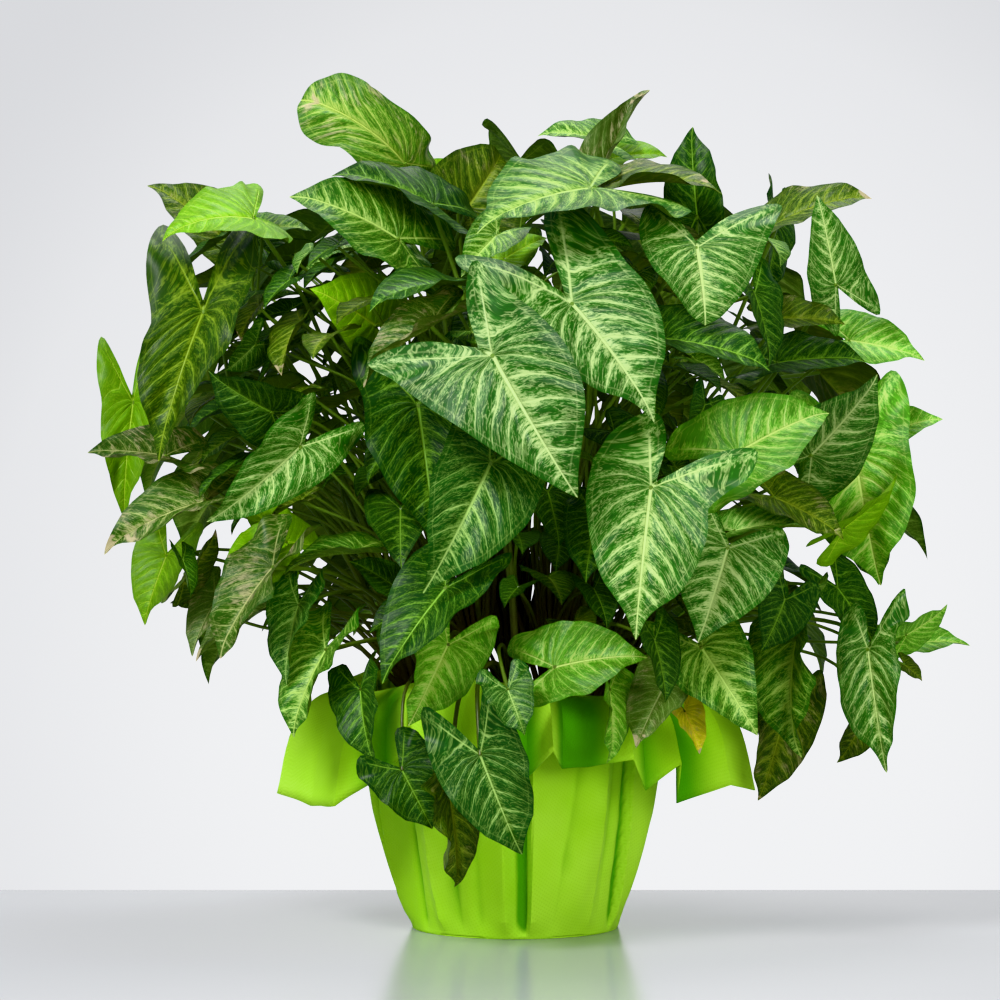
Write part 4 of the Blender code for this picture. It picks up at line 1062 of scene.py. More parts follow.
def place_leaves():
    """Places every leaf of the solids. One that can't be cleared of the rest is left out."""
    draw = random.Random(SEED)
    tries = [front_tries(*row) for row in FRONT_LEAVES]
    for row, (height, wide, deep, azimuths, midrib) in enumerate(BACK_ROWS):
        tries += [back_tries(draw, row, azimuth, height, wide, deep, midrib) for azimuth in azimuths]
    lost = sum(not any(try_leaf(leaf) for leaf in leaves) for leaves in tries)
    print(len(placed), "leaves placed,", lost, "not placed")


place_leaves()

# %% [markdown]
# ## Young leaves inside the canopy
# Between the big leaves a real plant is full of small dark ones, which is why one can hardly see through
# it. They are small and drawn at random, a third of them anywhere inside the canopy and the others where it
# is thin, and each is kept only where it is clear of the rest.

# %% Fill the inside
INNER_SEED = 77
INNER_TRIES = 12000
INNER_HEIGHT = (150.0 * MM, 345.0 * MM)
INNER_SHARE = (0.05, 0.80)       # of the canopy's radius
INNER_MIDRIB = (18.0, 50.0)      # in mm
INNER_ROLL = 20.0
CANOPY_WIDE = 168.0 * MM
CANOPY_DEEP = 130.0 * MM
# Where the canopy is thin: a low and a high corner, in mm
THIN = (((-150, -65, 225), (-60, 75, 340)), ((-5, -60, 160), (90, 60, 300)))


def add_inner_leaves():
    draw = random.Random(INNER_SEED)
    before = len(placed)
    for number in range(INNER_TRIES):
        angle = draw.uniform(0.0, math.tau)
        height = draw.uniform(*INNER_HEIGHT)
        share = draw.uniform(*INNER_SHARE)
        spot = Vector((
            CANOPY_WIDE * share * math.cos(angle), CANOPY_DEEP * share * math.sin(angle) - 6 * MM, height,
        ))
        if number % 3:
            spot = Vector([draw.uniform(low, high) * MM for low, high in zip(*THIN[number % 3 - 1])])
        out = Vector((spot.x, spot.y, 0.0)).normalized()
        swing = out.cross(Vector((0.0, 0.0, 1.0))) * draw.uniform(-0.8, 0.8)
        along = (out * 0.7 + swing - Vector((0.0, 0.0, draw.uniform(0.2, 1.0)))).normalized()
        size = draw.uniform(*INNER_MIDRIB) * MM
        leaf = Leaf(f"inner_{number}", spot, spot + along * size, 0.0,
                    draw.uniform(0.8, 1.05), draw.uniform(12, 24), draw.uniform(0.3, 0.7))
        leaf.face_out(out, draw.uniform(-INNER_ROLL, INNER_ROLL))
        try_leaf(leaf, among_stalks=True)
    print(len(placed) - before, "inner leaves")


add_inner_leaves()

# %% [markdown]
# ## Fine blades
# The solid's blade has about two dozen triangles a side. Here each becomes a grid of spokes and rings about
# the junction, inside a smooth curve through the same outline points, bent by the same surface. Side veins
# are let in and the blade puffs up a little between them. The underside follows at about half a millimetre,
# with the midrib standing out as a ridge, and meets the upper side in a thin edge.

# %% A smooth outline and its grid
GRIDS = {"large": (112, 19), "middle": (80, 13), "small": (60, 9), "inner": (32, 6)}   # spokes and rings
DRAWN_OUT = 0.42                 # how much slimmer the tip is than the solid's
PUFF = 0.010                     # how far the blade stands up between side veins, for a midrib of 1
GROOVE = 0.012                   # and how deep the midrib is let in


def curve_through(points, each=24):
    """A Catmull-Rom curve through the points."""
    points = np.array(points, float)
    ends = np.vstack([2 * points[0] - points[1], points, 2 * points[-1] - points[-2]])
    t = np.linspace(0.0, 1.0, each, endpoint=False)[:, None]
    rows = []
    for a, b, c, d in zip(ends, ends[1:], ends[2:], ends[3:]):
        cubic = (3 * b - a - 3 * c + d) * t ** 3
        rows.append(0.5 * (2 * b + (c - a) * t + (2 * a - 5 * b + 4 * c - d) * t * t + cubic))
    rows.append(points[-1:])
    return np.vstack(rows)


def half_rim(half, spokes, own=None):
    """Points along one half of the outline, and the same points on a leaf's own outline."""
    line = curve_through([TIP, *half, SINUS])
    length = np.concatenate([[0.0], np.cumsum(np.linalg.norm(np.diff(line, axis=0), axis=1))])
    share = np.linspace(0.0, 1.0, spokes // 2 + 1) ** 1.12
    target = line if own is None else curve_through(own)
    flat = []
    for row in (line, target):
        flat.append(np.stack([np.interp(share * length[-1], length, row[:, i]) for i in range(2)], axis=1))
    slim = 1.0 - DRAWN_OUT * np.clip((flat[1][:, 1] - 0.70) / 0.30, 0.0, 1.0) ** 0.8
    if own is None:
        flat[1][:, 0] *= slim
    return flat


print("half an outline in", len(half_rim(HALF_OUTLINE, GRIDS["large"][0])[1]), "points")


# %% The grid of a blade, and the relief of its veins
def make_grid(tier, own=None):
    """Points in rings about the junction, their distance to the edge, and where they really lie."""
    half, _ = OUTLINES["middle" if tier == "inner" else tier]
    spokes, rings = GRIDS[tier]
    # The left half mirrors the right, unless the leaf has its own. The pattern keeps to the shared outline
    rims = []
    halves = [half_rim(half, spokes, own and own[side]) for side in (0, 1)]
    for k in (0, 1):
        left = halves[1][k][-2:0:-1] * ((-1.0, 1.0) if own is None or k == 0 else (1.0, 1.0))
        rims.append(np.vstack([halves[0][k], left]))
    rim = rims[0] if own else rims[1]
    reach = (np.arange(1, rings + 1) / rings) ** 0.9
    flat = np.vstack([np.zeros((1, 2)), *(rim * f for f in reach)])
    lies = np.vstack([np.zeros((1, 2)), *(rims[1] * f for f in reach)])
    step = np.roll(rim, -1, axis=0) - rim
    gap = flat[:, None, :] - rim[None]
    t = np.clip((gap * step).sum(-1) / (step * step).sum(-1), 0.0, 1.0)
    edge = np.linalg.norm(gap - t[..., None] * step, axis=-1).min(1)
    return flat, edge, rings, len(rim), lies


def vein_relief(flat, edge):
    """How far the blade stands above or below its smooth surface, for a midrib of 1."""
    across = np.abs(flat[:, 0])
    ahead = flat[:, 1] - across * VEIN_SLOPE - across * across * VEIN_CURVE
    along = np.where(ahead > 0.0, ahead, ahead * FAN / (np.hypot(across, flat[:, 1]) + 0.02))
    puff = PUFF * np.sin(np.pi * along / VEIN_SPACING) ** 2 * np.minimum(1.0, edge / 0.08)
    groove = GROOVE * np.exp(-(across / 0.03) ** 2) * (flat[:, 1] > -0.05)
    return puff * np.minimum(1.0, across / 0.05) - groove


grids = {tier: make_grid(tier) for tier in GRIDS}
print({tier: len(grid[0]) for tier, grid in grids.items()}, "points a side")

# %% Leaves with a shape of their own
# Leaves with an outline of their own: both halves from tip to sinus, point for point as in HALF_OUTLINE
OWN_OUTLINES = {
    "centre_large": (
        (TIP, (0.10, 0.83), (0.22, 0.61), (0.40, 0.27), (0.52, 0.0), (0.59, -0.18), (0.66, -0.36),
         (0.33, -0.31), (0.05, -0.09)),
        (TIP, (-0.10, 0.87), (-0.35, 0.593), (-0.417, 0.274), (-0.367, -0.024), (-0.27, -0.315),
         (-0.18, -0.66), (-0.02, -0.44), (0.05, -0.09)),
    ),
    "top_right_large": (
        (TIP, (0.16, 0.90), (0.36, 0.68), (0.56, 0.36), (0.70, -0.02), (0.66, -0.40), (0.46, -0.72),
         (0.17, -0.42), (0.0, -0.09)),
        (TIP, (-0.22, 0.90), (-0.50, 0.64), (-0.72, 0.30), (-0.87, 0.01), (-1.02, -0.26), (-1.15, -0.62),
         (-0.50, -0.44), (0.0, -0.09)),
    ),
    "top_round": (
        (TIP, (0.07, 0.96), (0.17, 0.78), (0.27, 0.42), (0.29, 0.05), (0.27, -0.18), (0.18, -0.30),
         (0.08, -0.20), (0.0, -0.06)),
        (TIP, (-0.07, 0.96), (-0.17, 0.78), (-0.27, 0.42), (-0.29, 0.05), (-0.27, -0.18), (-0.18, -0.30),
         (-0.08, -0.20), (0.0, -0.06)),
    ),
}
own_grids = {name: make_grid("large", own) for name, own in OWN_OUTLINES.items()}

# Leaves that are more curled or flatter than the rest
CURLY = {
    "centre_large": 0.45, "upper_pale": 0.6, "right_large": 0.6, "low_right": 0.6, "top_right_large": 0.8,
    "hang_brown": 2.8, "hang_left": 2.4, "hang_front": 1.5, "left_low_dark": 1.8, "left_low_two_tone": 1.8,
    "bottom_bright": 2.6, "bottom_folded": 2.8, "bottom_light": 1.4, "bottom_mid_right": 1.6,
    "bottom_grey": 2.0, "bottom_narrow": 2.0, "low_right_curly": 2.6, "low_right_olive": 1.8,
    "far_right_bright": 1.6, "left_folded_tan": 2.0, "left_dark_blue": 1.8, "left_tall": 1.4,
    "curled_tan": 1.8, "left_folded_tip": 1.8, "bottom_yellowed": 1.8, "left_yellow_veins": 1.6,
}
print(len(OWN_OUTLINES), "leaves with their own outline,", len(CURLY), "with their own curl")

# %% One blade as points, faces and what its material reads
THICK = 0.5 * MM
EDGE_THIN = 0.05                 # the blade gets thinner from this far off its edge, for a midrib of 1
RIB_RIDGE = 0.9 * MM             # how far the midrib stands out below
RIB_WIDE = 0.022
RUFFLES = ((13.0, 0.013, 3.0), (7.0, 0.030, 3.6))   # waves round the blade, height, how close to the edge
TWIST = 0.26
TIP_DROOP = 0.9
TIP_FROM = 0.78                  # the tip droops from this far along the midrib


def grid_faces(rings, spokes):
    """Faces of one side, seen from above: a fan round the junction, then quads between rings."""
    pairs = [(k, (k + 1) % spokes) for k in range(spokes)]
    faces = [(0, 1 + b, 1 + a) for a, b in pairs]
    for ring in range(rings - 1):
        low = 1 + ring * spokes
        faces += [(low + a, low + b, low + spokes + b, low + spokes + a) for a, b in pairs]
    return faces


def surface_normals(points, rings, spokes):
    """The direction in which each point of the grid faces."""
    grid = points[1:].reshape(rings, spokes, 3)
    around = np.roll(grid, -1, axis=1) - np.roll(grid, 1, axis=1)
    inner = np.concatenate([np.repeat(points[:1][None], spokes, axis=1), grid[:-1]])
    outer = np.concatenate([grid[1:], grid[-1:]])
    normal = np.cross(around, outer - inner)
    normal /= np.linalg.norm(normal, axis=-1, keepdims=True) + 1e-12
    hub = normal[0].mean(0)
    return np.vstack([hub / np.linalg.norm(hub), normal.reshape(-1, 3)])


def fine_blade(leaf):
    """Points and faces of both sides, each point's flat place and edge distance, and which lie below."""
    grid = own_grids.get(leaf.name) or grids["inner" if leaf.inner else leaf.tier()]
    flat, edge, rings, spokes, lies = grid
    if leaf.name in own_grids:    # the lobes and the width are in the outline already
        leaf.skew, leaf.lobe, leaf.sway, leaf.width = 0.0, 1.0, 0.0, 1.0
    points = leaf.surface(lies[:, 0], lies[:, 1])
    angle = np.arctan2(flat[:, 0], flat[:, 1])
    reach = np.minimum(1.0, np.hypot(flat[:, 0], flat[:, 1]) / 0.6)
    off_rib = np.minimum(1.0, np.abs(flat[:, 0]) * 6.0)
    curly = CURLY.get(leaf.name, 1.0)
    form = np.zeros(len(flat))
    for waves, lift, power in RUFFLES:
        form += curly * lift * reach ** power * np.sin(waves * angle + 2.0 * leaf.phase) * off_rib
    form += curly * TWIST * math.sin(3.0 * leaf.phase) * flat[:, 0] * np.clip(flat[:, 1], 0.0, 1.0)
    form -= TIP_DROOP * np.clip(flat[:, 1] - TIP_FROM, 0.0, 1.0) ** 2
    normals = surface_normals(points, rings, spokes)
    if (normals @ np.array(leaf.normal)).mean() < 0:
        normals = -normals
    top = points + normals * ((vein_relief(flat, edge) + form) * leaf.length)[:, None]
    across = np.abs(flat[:, 0])
    ridge = RIB_RIDGE * np.exp(-(across / RIB_WIDE) ** 2)
    ridge *= np.clip(1.0 - flat[:, 1], 0.0, 1.0) * (flat[:, 1] > -0.04)
    within = np.minimum(1.0, edge / EDGE_THIN)
    under = top - normals * (THICK * within + ridge * np.minimum(1.0, leaf.length / LARGE_LEAF))[:, None]
    inside = len(flat) - spokes                      # the outermost ring is shared by both sides
    faces = grid_faces(rings, spokes)
    # The same faces turned over for the underside, whose inner points come after the upper side's
    moved = [tuple((i if i >= inside else i + len(flat)) for i in reversed(face)) for face in faces]
    every = np.vstack([top, under[:inside]])
    a, b, c = (every[list(faces[0])][i] for i in range(3))
    if np.cross(b - a, c - a) @ np.array(leaf.normal) < 0:
        faces = [tuple(reversed(face)) for face in faces]
        moved = [tuple(reversed(face)) for face in moved]
    place = np.column_stack([flat, edge])
    place = np.vstack([place, place[:inside]])
    below = np.concatenate([np.zeros(len(flat)), np.ones(inside)])
    return every, [*faces, *moved], place, below


print("one large blade has", 2 * len(grid_faces(GRIDS["large"][1], GRIDS["large"][0])), "faces")

# %% [markdown]
# ## The colours of the leaves
# No two leaves are alike: young ones are light and strongly feathered, old ones dark and glossy. Those with
# the light behind them glow yellow-green, and that glow is painted into their colour as the lime look. A look
# is a ground colour, a feather colour, how much of the blade is feathered, and how much of it has dried to
# tan. Named leaves get the look that they have, and the rest draw one by chance.

# %% Looks
LOOKS = {
    # ground, feathers, share feathered, dry
    "bright": ((32, 78, 20), (170, 194, 120), 0.56, 0.0),
    "front": ((28, 72, 18), (166, 190, 122), 0.52, 0.0),
    "pale": ((50, 104, 32), (172, 200, 116), 0.64, 0.0),
    "mid": ((34, 78, 18), (156, 186, 96), 0.53, 0.0),
    "dark": ((20, 52, 14), (104, 144, 56), 0.41, 0.0),
    "blue": ((28, 68, 22), (146, 180, 98), 0.47, 0.0),
    "light": ((62, 116, 30), (166, 194, 100), 0.50, 0.0),
    # Painted backlight: the yellow-green glow of leaves with the light behind them
    "lime": ((84, 132, 18), (146, 180, 60), 0.36, 0.0),
    "olive": ((34, 58, 10), (116, 134, 50), 0.50, 0.18),
    "shaded": ((26, 50, 8), (100, 122, 40), 0.47, 0.0),
    "under": ((66, 92, 40), (146, 160, 104), 0.42, 0.28),
    "tan": ((36, 66, 18), (138, 148, 92), 0.45, 0.46),
    "yellow": ((150, 150, 30), (200, 180, 80), 0.40, 0.5),
    "aged": ((46, 88, 20), (152, 174, 84), 0.54, 0.30),
}
LOOK_OF = {
    "bright": "right_large low_right far_right_bright right_variegated right_top_lit left_mid_pale_tip"
              " top_right_large right_high",
    "front": "centre_large upper_pale",
    "pale": "young_right",
    "aged": "top_round",
    "mid": "top_pale bottom_mid_right low_right_curly top_wide left_low_two_tone",
    "dark": "left_dark dark_bright_rib hang_left low_dark_left low_dark_centre centre_dark_a centre_dark_b"
            " left_mid_dark top_dark_a top_right_dark bottom_dark_small right_low_dark left_narrow_dark"
            " left_low_dark right_dark_small low_right_back right_narrow_a right_cluster_a low_dark_rib",
    "blue": "left_blue left_dark_blue hang_front bottom_folded",
    "light": "bottom_bright bottom_light right_light right_edge_light right_mid_pale right_pale_big"
             " far_right_a far_right_b",
    "lime": "top_left_lime behind_lime left_lime left_backlit right_lime_narrow left_yellow_veins"
            " left_edge_on top_bright_small upper_left_lit top_back_b",
    "shaded": "left_tall",
    "olive": "top_left_olive top_olive top_far_right right_olive low_right_olive"
             " far_right_behind top_edge_on hang_brown",
    "under": "left_under_a left_under_b top_folded_pale bottom_grey",
    "tan": "curled_tan left_tan left_folded_tip left_sweep left_folded_tan",
    "yellow": "bottom_yellowed",
}
NAMED_LOOK = {name: look for look, names in LOOK_OF.items() for name in names.split()}
CHANCE_LOOKS = ("mid", "mid", "dark", "dark", "light", "bright", "olive", "blue")
INNER_LOOKS = ("dark", "dark", "dark", "mid", "olive")
LOOK_SEED = 5


def look_of(leaf, draw):
    """Ground and feather colours, share feathered and dryness of a leaf."""
    kinds = INNER_LOOKS if leaf.inner else CHANCE_LOOKS
    chosen = NAMED_LOOK.get(leaf.name) or draw.choice(kinds)
    ground, pale, amount, dry = LOOKS[chosen]
    light = draw.uniform(0.88, 1.12)
    ground = seen(*(min(255.0, value * light) for value in ground))
    pale = seen(*(min(255.0, value * light) for value in pale))
    return ground, pale, amount + draw.uniform(-0.05, 0.05), dry


print(len(LOOKS), "looks for", len(NAMED_LOOK), "named leaves")


# %% Build the blades, one piece for each stem of the solids
BLADE_SHARP = 70.0               # faces that meet at more degrees than this are shaded as an edge


def build_blades():
    draw = random.Random(LOOK_SEED)
    for number in range(len(crowns)):
        own = [row for row in placed if row.crown == number]
        points, faces, rows = [], [], []
        for leaf, *_ in own:
            every, own_faces, place, below = fine_blade(leaf)
            shift = sum(len(block) for block in points)
            faces += [tuple(i + shift for i in face) for face in own_faces]
            points.append(every)
            ground, pale, amount, dry = look_of(leaf, draw)
            count = len(every)
            seed = draw.random()
            rows.append(np.hstack([
                place, below[:, None], np.full((count, 1), dry),
                np.tile([*ground[:3], seed, *pale[:3], amount], (count, 1)),
            ]))
        mesh = new_mesh(f"leaves_{number + 1:02d}", np.vstack(points).tolist(), faces)
        values = np.vstack(rows).astype(np.float32)
        for name, kind, key, columns in (
            ("blade", "FLOAT_VECTOR", "vector", slice(0, 3)), ("under", "FLOAT", "value", slice(3, 4)),
            ("dry", "FLOAT", "value", slice(4, 5)), ("ground", "FLOAT_COLOR", "color", slice(5, 9)),
            ("pale", "FLOAT_COLOR", "color", slice(9, 13)),
        ):
            layer = mesh.attributes.new(name, kind, "POINT")
            layer.data.foreach_set(key, np.ascontiguousarray(values[:, columns]).ravel())
        mesh.materials.append(leaf_paint)
        mesh.shade_smooth()
        mesh.set_sharp_from_angle(angle=math.radians(BLADE_SHARP))
        piece = new_object(mesh.name, mesh)
        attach(piece, "root")
        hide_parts(f"leafy_stem_{number + 1:02d}")
        print(mesh.name, len(own), "leaves,", sum(len(p.vertices) - 2 for p in mesh.polygons), "triangles")


build_blades()

# %% Each piece against the box of the solid that it stands for
worst = 0.0
for number in range(len(crowns)):
    low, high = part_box(f"leafy_stem_{number + 1:02d}")
    own = [row for row in placed if row.crown == number and not row.leaf.inner]
    spots = np.vstack([[tuple(p) for p in row.points] for row in own])
    worst = max(worst, *np.maximum(np.array(low) - spots.min(0), spots.max(0) - np.array(high)))
    worst = max(worst, *(abs(np.array(high) - spots.max(0)))[2:])
print("largest difference from the solids' boxes", round(float(worst) * 1000, 2), "mm")

# %% [markdown]
# ## Leafstalks
# Every leaf stands on a round stalk that leaves the stem steeply, bows outwards and turns over just below
# the blade. Paths that all get the same round section are work for Geometry Nodes: the stalks of one stem
# are lines of points, each point with its own thickness, and the tree sweeps a small circle along them.


# %% The sweeping tree
def sweep_tree():
    tree, given, result = new_group(
        "GeometryNodeTree", "sweep_stalks",
        [("Geometry", "Geometry"), ("Sides", "Int"), ("Swelling", "Float"), ("Finish", "Material")],
        [("Geometry", "Geometry")],
    )
    add = tree.nodes.new
    line, circle = add("GeometryNodeMeshToCurve"), add("GeometryNodeCurvePrimitiveCircle")
    sweep, smooth = add("GeometryNodeCurveToMesh"), add("GeometryNodeSetShadeSmooth")
    thick, scale = add("GeometryNodeInputNamedAttribute"), add("ShaderNodeMath")
    real, paint = add("GeometryNodeRealizeInstances"), add("GeometryNodeSetMaterial")
    thick.inputs["Name"].default_value = "thick"
    scale.operation = "MULTIPLY"
    circle.inputs["Radius"].default_value = 1.0
    sweep.inputs["Fill Caps"].default_value = True
    for source, target in (
        (given.outputs["Geometry"], line.inputs[0]), (line.outputs[0], sweep.inputs["Curve"]),
        (given.outputs["Sides"], circle.inputs["Resolution"]),
        (circle.outputs[0], sweep.inputs["Profile Curve"]),
        (thick.outputs[0], scale.inputs[0]), (given.outputs["Swelling"], scale.inputs[1]),
        (scale.outputs[0], sweep.inputs["Scale"]), (sweep.outputs[0], smooth.inputs[0]),
        (smooth.outputs[0], real.inputs[0]), (real.outputs[0], paint.inputs[0]),
        (given.outputs["Finish"], paint.inputs["Material"]), (paint.outputs[0], result.inputs[0]),
    ):
        tree.links.new(source, target)
    return tree


def run_nodes(source, tree, name, values):
    """Runs a Geometry Nodes tree on the source and returns its result as a plain mesh object."""
    modifier = source.modifiers.new("nodes", "NODES")
    modifier.node_group = tree
    for item in tree.interface.items_tree:
        if item.in_out == "INPUT" and item.name in values:
            modifier[item.identifier] = values[item.name]
    bpy.context.view_layer.update()
    graph = bpy.context.evaluated_depsgraph_get()
    mesh = bpy.data.meshes.new_from_object(source.evaluated_get(graph))
    mesh.name = name
    bpy.data.objects.remove(source, do_unlink=True)
    return new_object(name, mesh)


stalk_tree = sweep_tree()
print("tree", stalk_tree.name, len(stalk_tree.nodes), "nodes")

# %% The stalks of each stem
STALK_POINTS = 22
STALK_SIDES = 8
STALK_FOOT = 1.9 * MM            # stalks are thicker at the foot, where they sheathe the stem
STALK_TAPER = 0.18
KNEE = 0.16                      # swelling just below the blade, where it is on the stalk, and how long
KNEE_AT = 0.93
KNEE_SPAN = 0.05
INNER_SLIM = 0.86                # the stalks of inner leaves are thinner
STEM_TURNS = 9
STEM_TAPER = 0.28
STEM_KNOT = 0.05


def smooth_path(path):
    """More points along the same curve that the solid's stalk takes in a few straight lengths."""
    return [Vector(p) for p in curve_through(path, STALK_POINTS // (len(path) - 1))]


def build_stalks():
    made = []
    for number, spot in enumerate(crowns):
        points, edges, thick = [], [], []
        for leaf, _, path, crown in placed:
            if crown != number:
                continue
            line = smooth_path(path)
            first = len(points)
            radius = leaf.petiole_r() * (INNER_SLIM if leaf.inner else 1.0)
            for i, p in enumerate(line):
                t = i / (len(line) - 1)
                points.append(tuple(p))
                swell = KNEE * math.exp(-((t - KNEE_AT) / KNEE_SPAN) ** 2)
                tapered = radius * (0.92 + swell) * (1.0 - STALK_TAPER * t)
                thick.append(tapered + (STALK_FOOT - radius) * max(0.0, 1.0 - 4.0 * t))
            edges += [(first + i, first + i + 1) for i in range(len(line) - 1)]
        first = len(points)
        for i in range(STEM_TURNS):
            t = i / (STEM_TURNS - 1)
            points.append((spot[0], spot[1], STEM_FOOT_Z + (STEM_TOP_Z - STEM_FOOT_Z) * t))
            knotted = 1.0 + STEM_KNOT * math.cos(math.pi * i)
            top = 0.7 if i == STEM_TURNS - 1 else 1.0
            thick.append(STEM_R * (1.0 - STEM_TAPER * t) * knotted * top)
        edges += [(first + i, first + i + 1) for i in range(STEM_TURNS - 1)]
        mesh = new_mesh("lines", points, [], edges)
        mesh.attributes.new("thick", "FLOAT", "POINT").data.foreach_set("value", thick)
        source = new_object("lines", mesh)
        values = {"Sides": STALK_SIDES, "Swelling": 1.0, "Finish": stalk_paint}
        piece = run_nodes(source, stalk_tree, f"stalks_{number + 1:02d}", values)
        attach(piece, "root")
        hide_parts(f"leafy_stem_{number + 1:02d}")
        made.append(piece)
    print(len(made), "stems,", sum(len(o.data.polygons) for o in made), "faces of stalk")


build_stalks()

# %% [markdown]
# ## The cloth
# The wrap is one square of lime-green non-woven cloth, drawn up round the pot and folded out over its rim.
# On the wall it lies in a few broad panels: at the front one panel laps over the next with a sharp edge,
# elsewhere the cloth is pressed into narrow pleats. Past the crest it is stiff enough to stand in flat
# facets with creases between them, so there the smooth rings of the solid are sampled at the creases only
# and joined by straight lines.

# %% Laps and pleats of the wall
TURNS = 432
LAPS = (
    # azimuth at the base and at the crest, the hollow's depth and width, the lapping lip's height and spread
    (276.5, 275.0, 5.0 * MM, 11.0, 6.5 * MM, 14.0), (333.0, 322.0, 3.0 * MM, 7.0, 3.4 * MM, 9.0),
    (190.0, 197.0, 3.0 * MM, 6.0, 3.0 * MM, 10.0), (141.0, 150.0, 3.2 * MM, 7.0, 4.0 * MM, 11.0),
    (84.0, 77.0, 3.2 * MM, 7.0, 4.2 * MM, 12.0), (22.0, 30.0, 3.0 * MM, 6.0, 3.6 * MM, 10.0),
)
PLEAT_LINES = (
    # azimuth at the base and at the crest, depth, half width, strength at the base
    (229.0, 236.0, -3.2 * MM, 4.2, 0.9), (241.0, 246.0, 2.6 * MM, 4.0, 0.5),
    (265.0, 263.0, -4.4 * MM, 7.0, 0.9), (252.0, 253.0, 2.2 * MM, 4.0, 0.3),
    (214.0, 224.0, 3.0 * MM, 3.6, 0.6), (311.0, 304.0, -1.6 * MM, 3.0, 0.7),
    (318.0, 312.0, 1.8 * MM, 4.0, 0.3), (290.0, 297.0, 3.2 * MM, 9.0, 0.9),
    (345.0, 350.0, 3.2 * MM, 4.2, 0.8), (172.0, 166.0, 3.4 * MM, 4.0, 0.7),
    (122.0, 118.0, 3.2 * MM, 4.2, 0.6), (104.0, 108.0, -2.4 * MM, 3.8, 0.5), (58.0, 62.0, 3.4 * MM, 4.0, 0.7),
    (44.0, 40.0, -2.2 * MM, 3.6, 0.4), (4.0, 2.0, 3.0 * MM, 3.8, 0.6),
)
LAP_EDGE = 1.9                   # degrees over which a lap's edge steps out
WALL_LOW_Z = 6.0 * MM
BASE_FOLD_Z = 1.5 * MM           # the cloth lies flat and round below this height
BASE_FOLD_RISE = 8.0 * MM        # and has its full folds this much higher
PLEAT_REACH = 1.6                # a pleat fades out at this many half widths


def off_line(angle, low, high, rise):
    """Degrees from a line that runs from one azimuth at the base to another at the crest."""
    return (math.degrees(angle) - low - (high - low) * rise + 180.0) % 360.0 - 180.0


def pressed_in(angle, z):
    """How far the cloth is pressed in at this azimuth and height, in metres."""
    rise = min(1.0, max(0.0, (z - WALL_LOW_Z) / (CREST_Z - WALL_LOW_Z)))
    total = 0.0
    for low, high, depth, width, lip, spread in LAPS:
        off = off_line(angle, low, high, rise)
        hollow = depth * max(0.0, 1.0 + min(off, 0.0) / width) * (1.2 - 0.4 * rise)
        proud = -lip * math.exp(-max(off, 0.0) / spread) * (0.75 + 0.25 * rise)
        turn = min(1.0, max(0.0, off / LAP_EDGE + 0.5))
        if off > -width:
            total += hollow * (1.0 - turn) + proud * turn
    for low, high, depth, width, foot in PLEAT_LINES:
        off = abs(off_line(angle, low, high, rise)) / width
        if off < PLEAT_REACH:
            total += depth * (foot + (1.0 - foot) * rise ** 0.8) * (1.0 - off / PLEAT_REACH) ** 1.7
    return total


print(len(LAPS), "laps and", len(PLEAT_LINES), "pleats on the wall")

# %% Creases of the collar
CREASE_LINES = (
    # azimuth, how far the edge is pushed out and how far it is lifted, in units of CREASE_UNIT
    (6, -3, -2), (19, 4, 3), (33, -4, -1), (48, 5, 2), (61, -4, 3), (74, 3, -3), (86, -4, 1), (101, 5, 3),
    (116, -4, -2), (131, 4, 2), (147, -5, 1), (160, 5, 3), (173, -4, -2), (186, 3, 3), (194, 3, 4),
    (205, -1, -6), (217, 3, -9), (229, -6, -2), (241, 4, 2), (253, -3, -3), (264, 4, 1), (273, -7, -3),
    (279, 9, 9), (284, -7, 1), (292, -7, 0), (301, 4, 3), (309, -5, -6), (316, 5, 8), (324, -7, -4),
    (334, 5, 5), (342, 6, 2), (351, -6, 7),
)
CREASE_UNIT = 1.25 * MM
CREASE_FULL_SHADE = 7.0 * CREASE_UNIT  # a crease pushed in this far gets the full painted shade, a deep green
PUSH_FULL_SHADE = 3.0 * MM            # and so does cloth of the wall pressed in this far
FACETS_FROM = 0.68               # share of the way from the middle of the base to the edge
WALL_SWELL = 0.9 * MM            # slow waves of the wall, fine wrinkles, and the rise and fall of the edge
WRINKLE = 0.4 * MM
EDGE_WAVE = 0.6 * MM


def rings_at(angle):
    """Radius and height of the cloth's middle surface, in many steps from the centre to the edge."""
    rings = [(0.0, FABRIC / 2), *fabric_rings(angle)]
    return np.vstack([rings[:3], curve_through(rings[2:], 6)[1:]])


def turned(angle, ring):
    """The point at this radius and height, turned about the axis."""
    return Vector((ring[0] * math.cos(angle), ring[0] * math.sin(angle), ring[1]))


step = 360.0 / TURNS
creases = [
    (round(azimuth / step) * step, out * CREASE_UNIT, lift * CREASE_UNIT)
    for azimuth, out, lift in CREASE_LINES
]
crease_rings = [rings_at(math.radians(azimuth)) for azimuth, _, _ in creases]


def facet(azimuth, i, part):
    """The point of ring i on the flat facet at this azimuth, part of the way out along the collar."""
    last = len(creases) - 1
    k = next((n for n in range(last, -1, -1) if creases[n][0] <= azimuth), last)
    after = (k + 1) % len(creases)
    width = (creases[after][0] - creases[k][0]) % 360.0
    t = ((azimuth - creases[k][0]) % 360.0) / width
    ends = []
    for n in (k, after):
        at, out, lift = creases[n]
        r, z = crease_rings[n][i]
        ends.append(turned(math.radians(at), (r + out * part, z + lift * part)))
    return ends[0].lerp(ends[1], t)


def shade_of(azimuth):
    """Painted shade of the collar: 1 at a crease that is folded in, 0 at one that stands out."""
    sides = [(at, max(0.0, -out) / CREASE_FULL_SHADE) for at, out, _ in creases]
    return float(np.interp(azimuth, *zip(*sides), period=360.0))


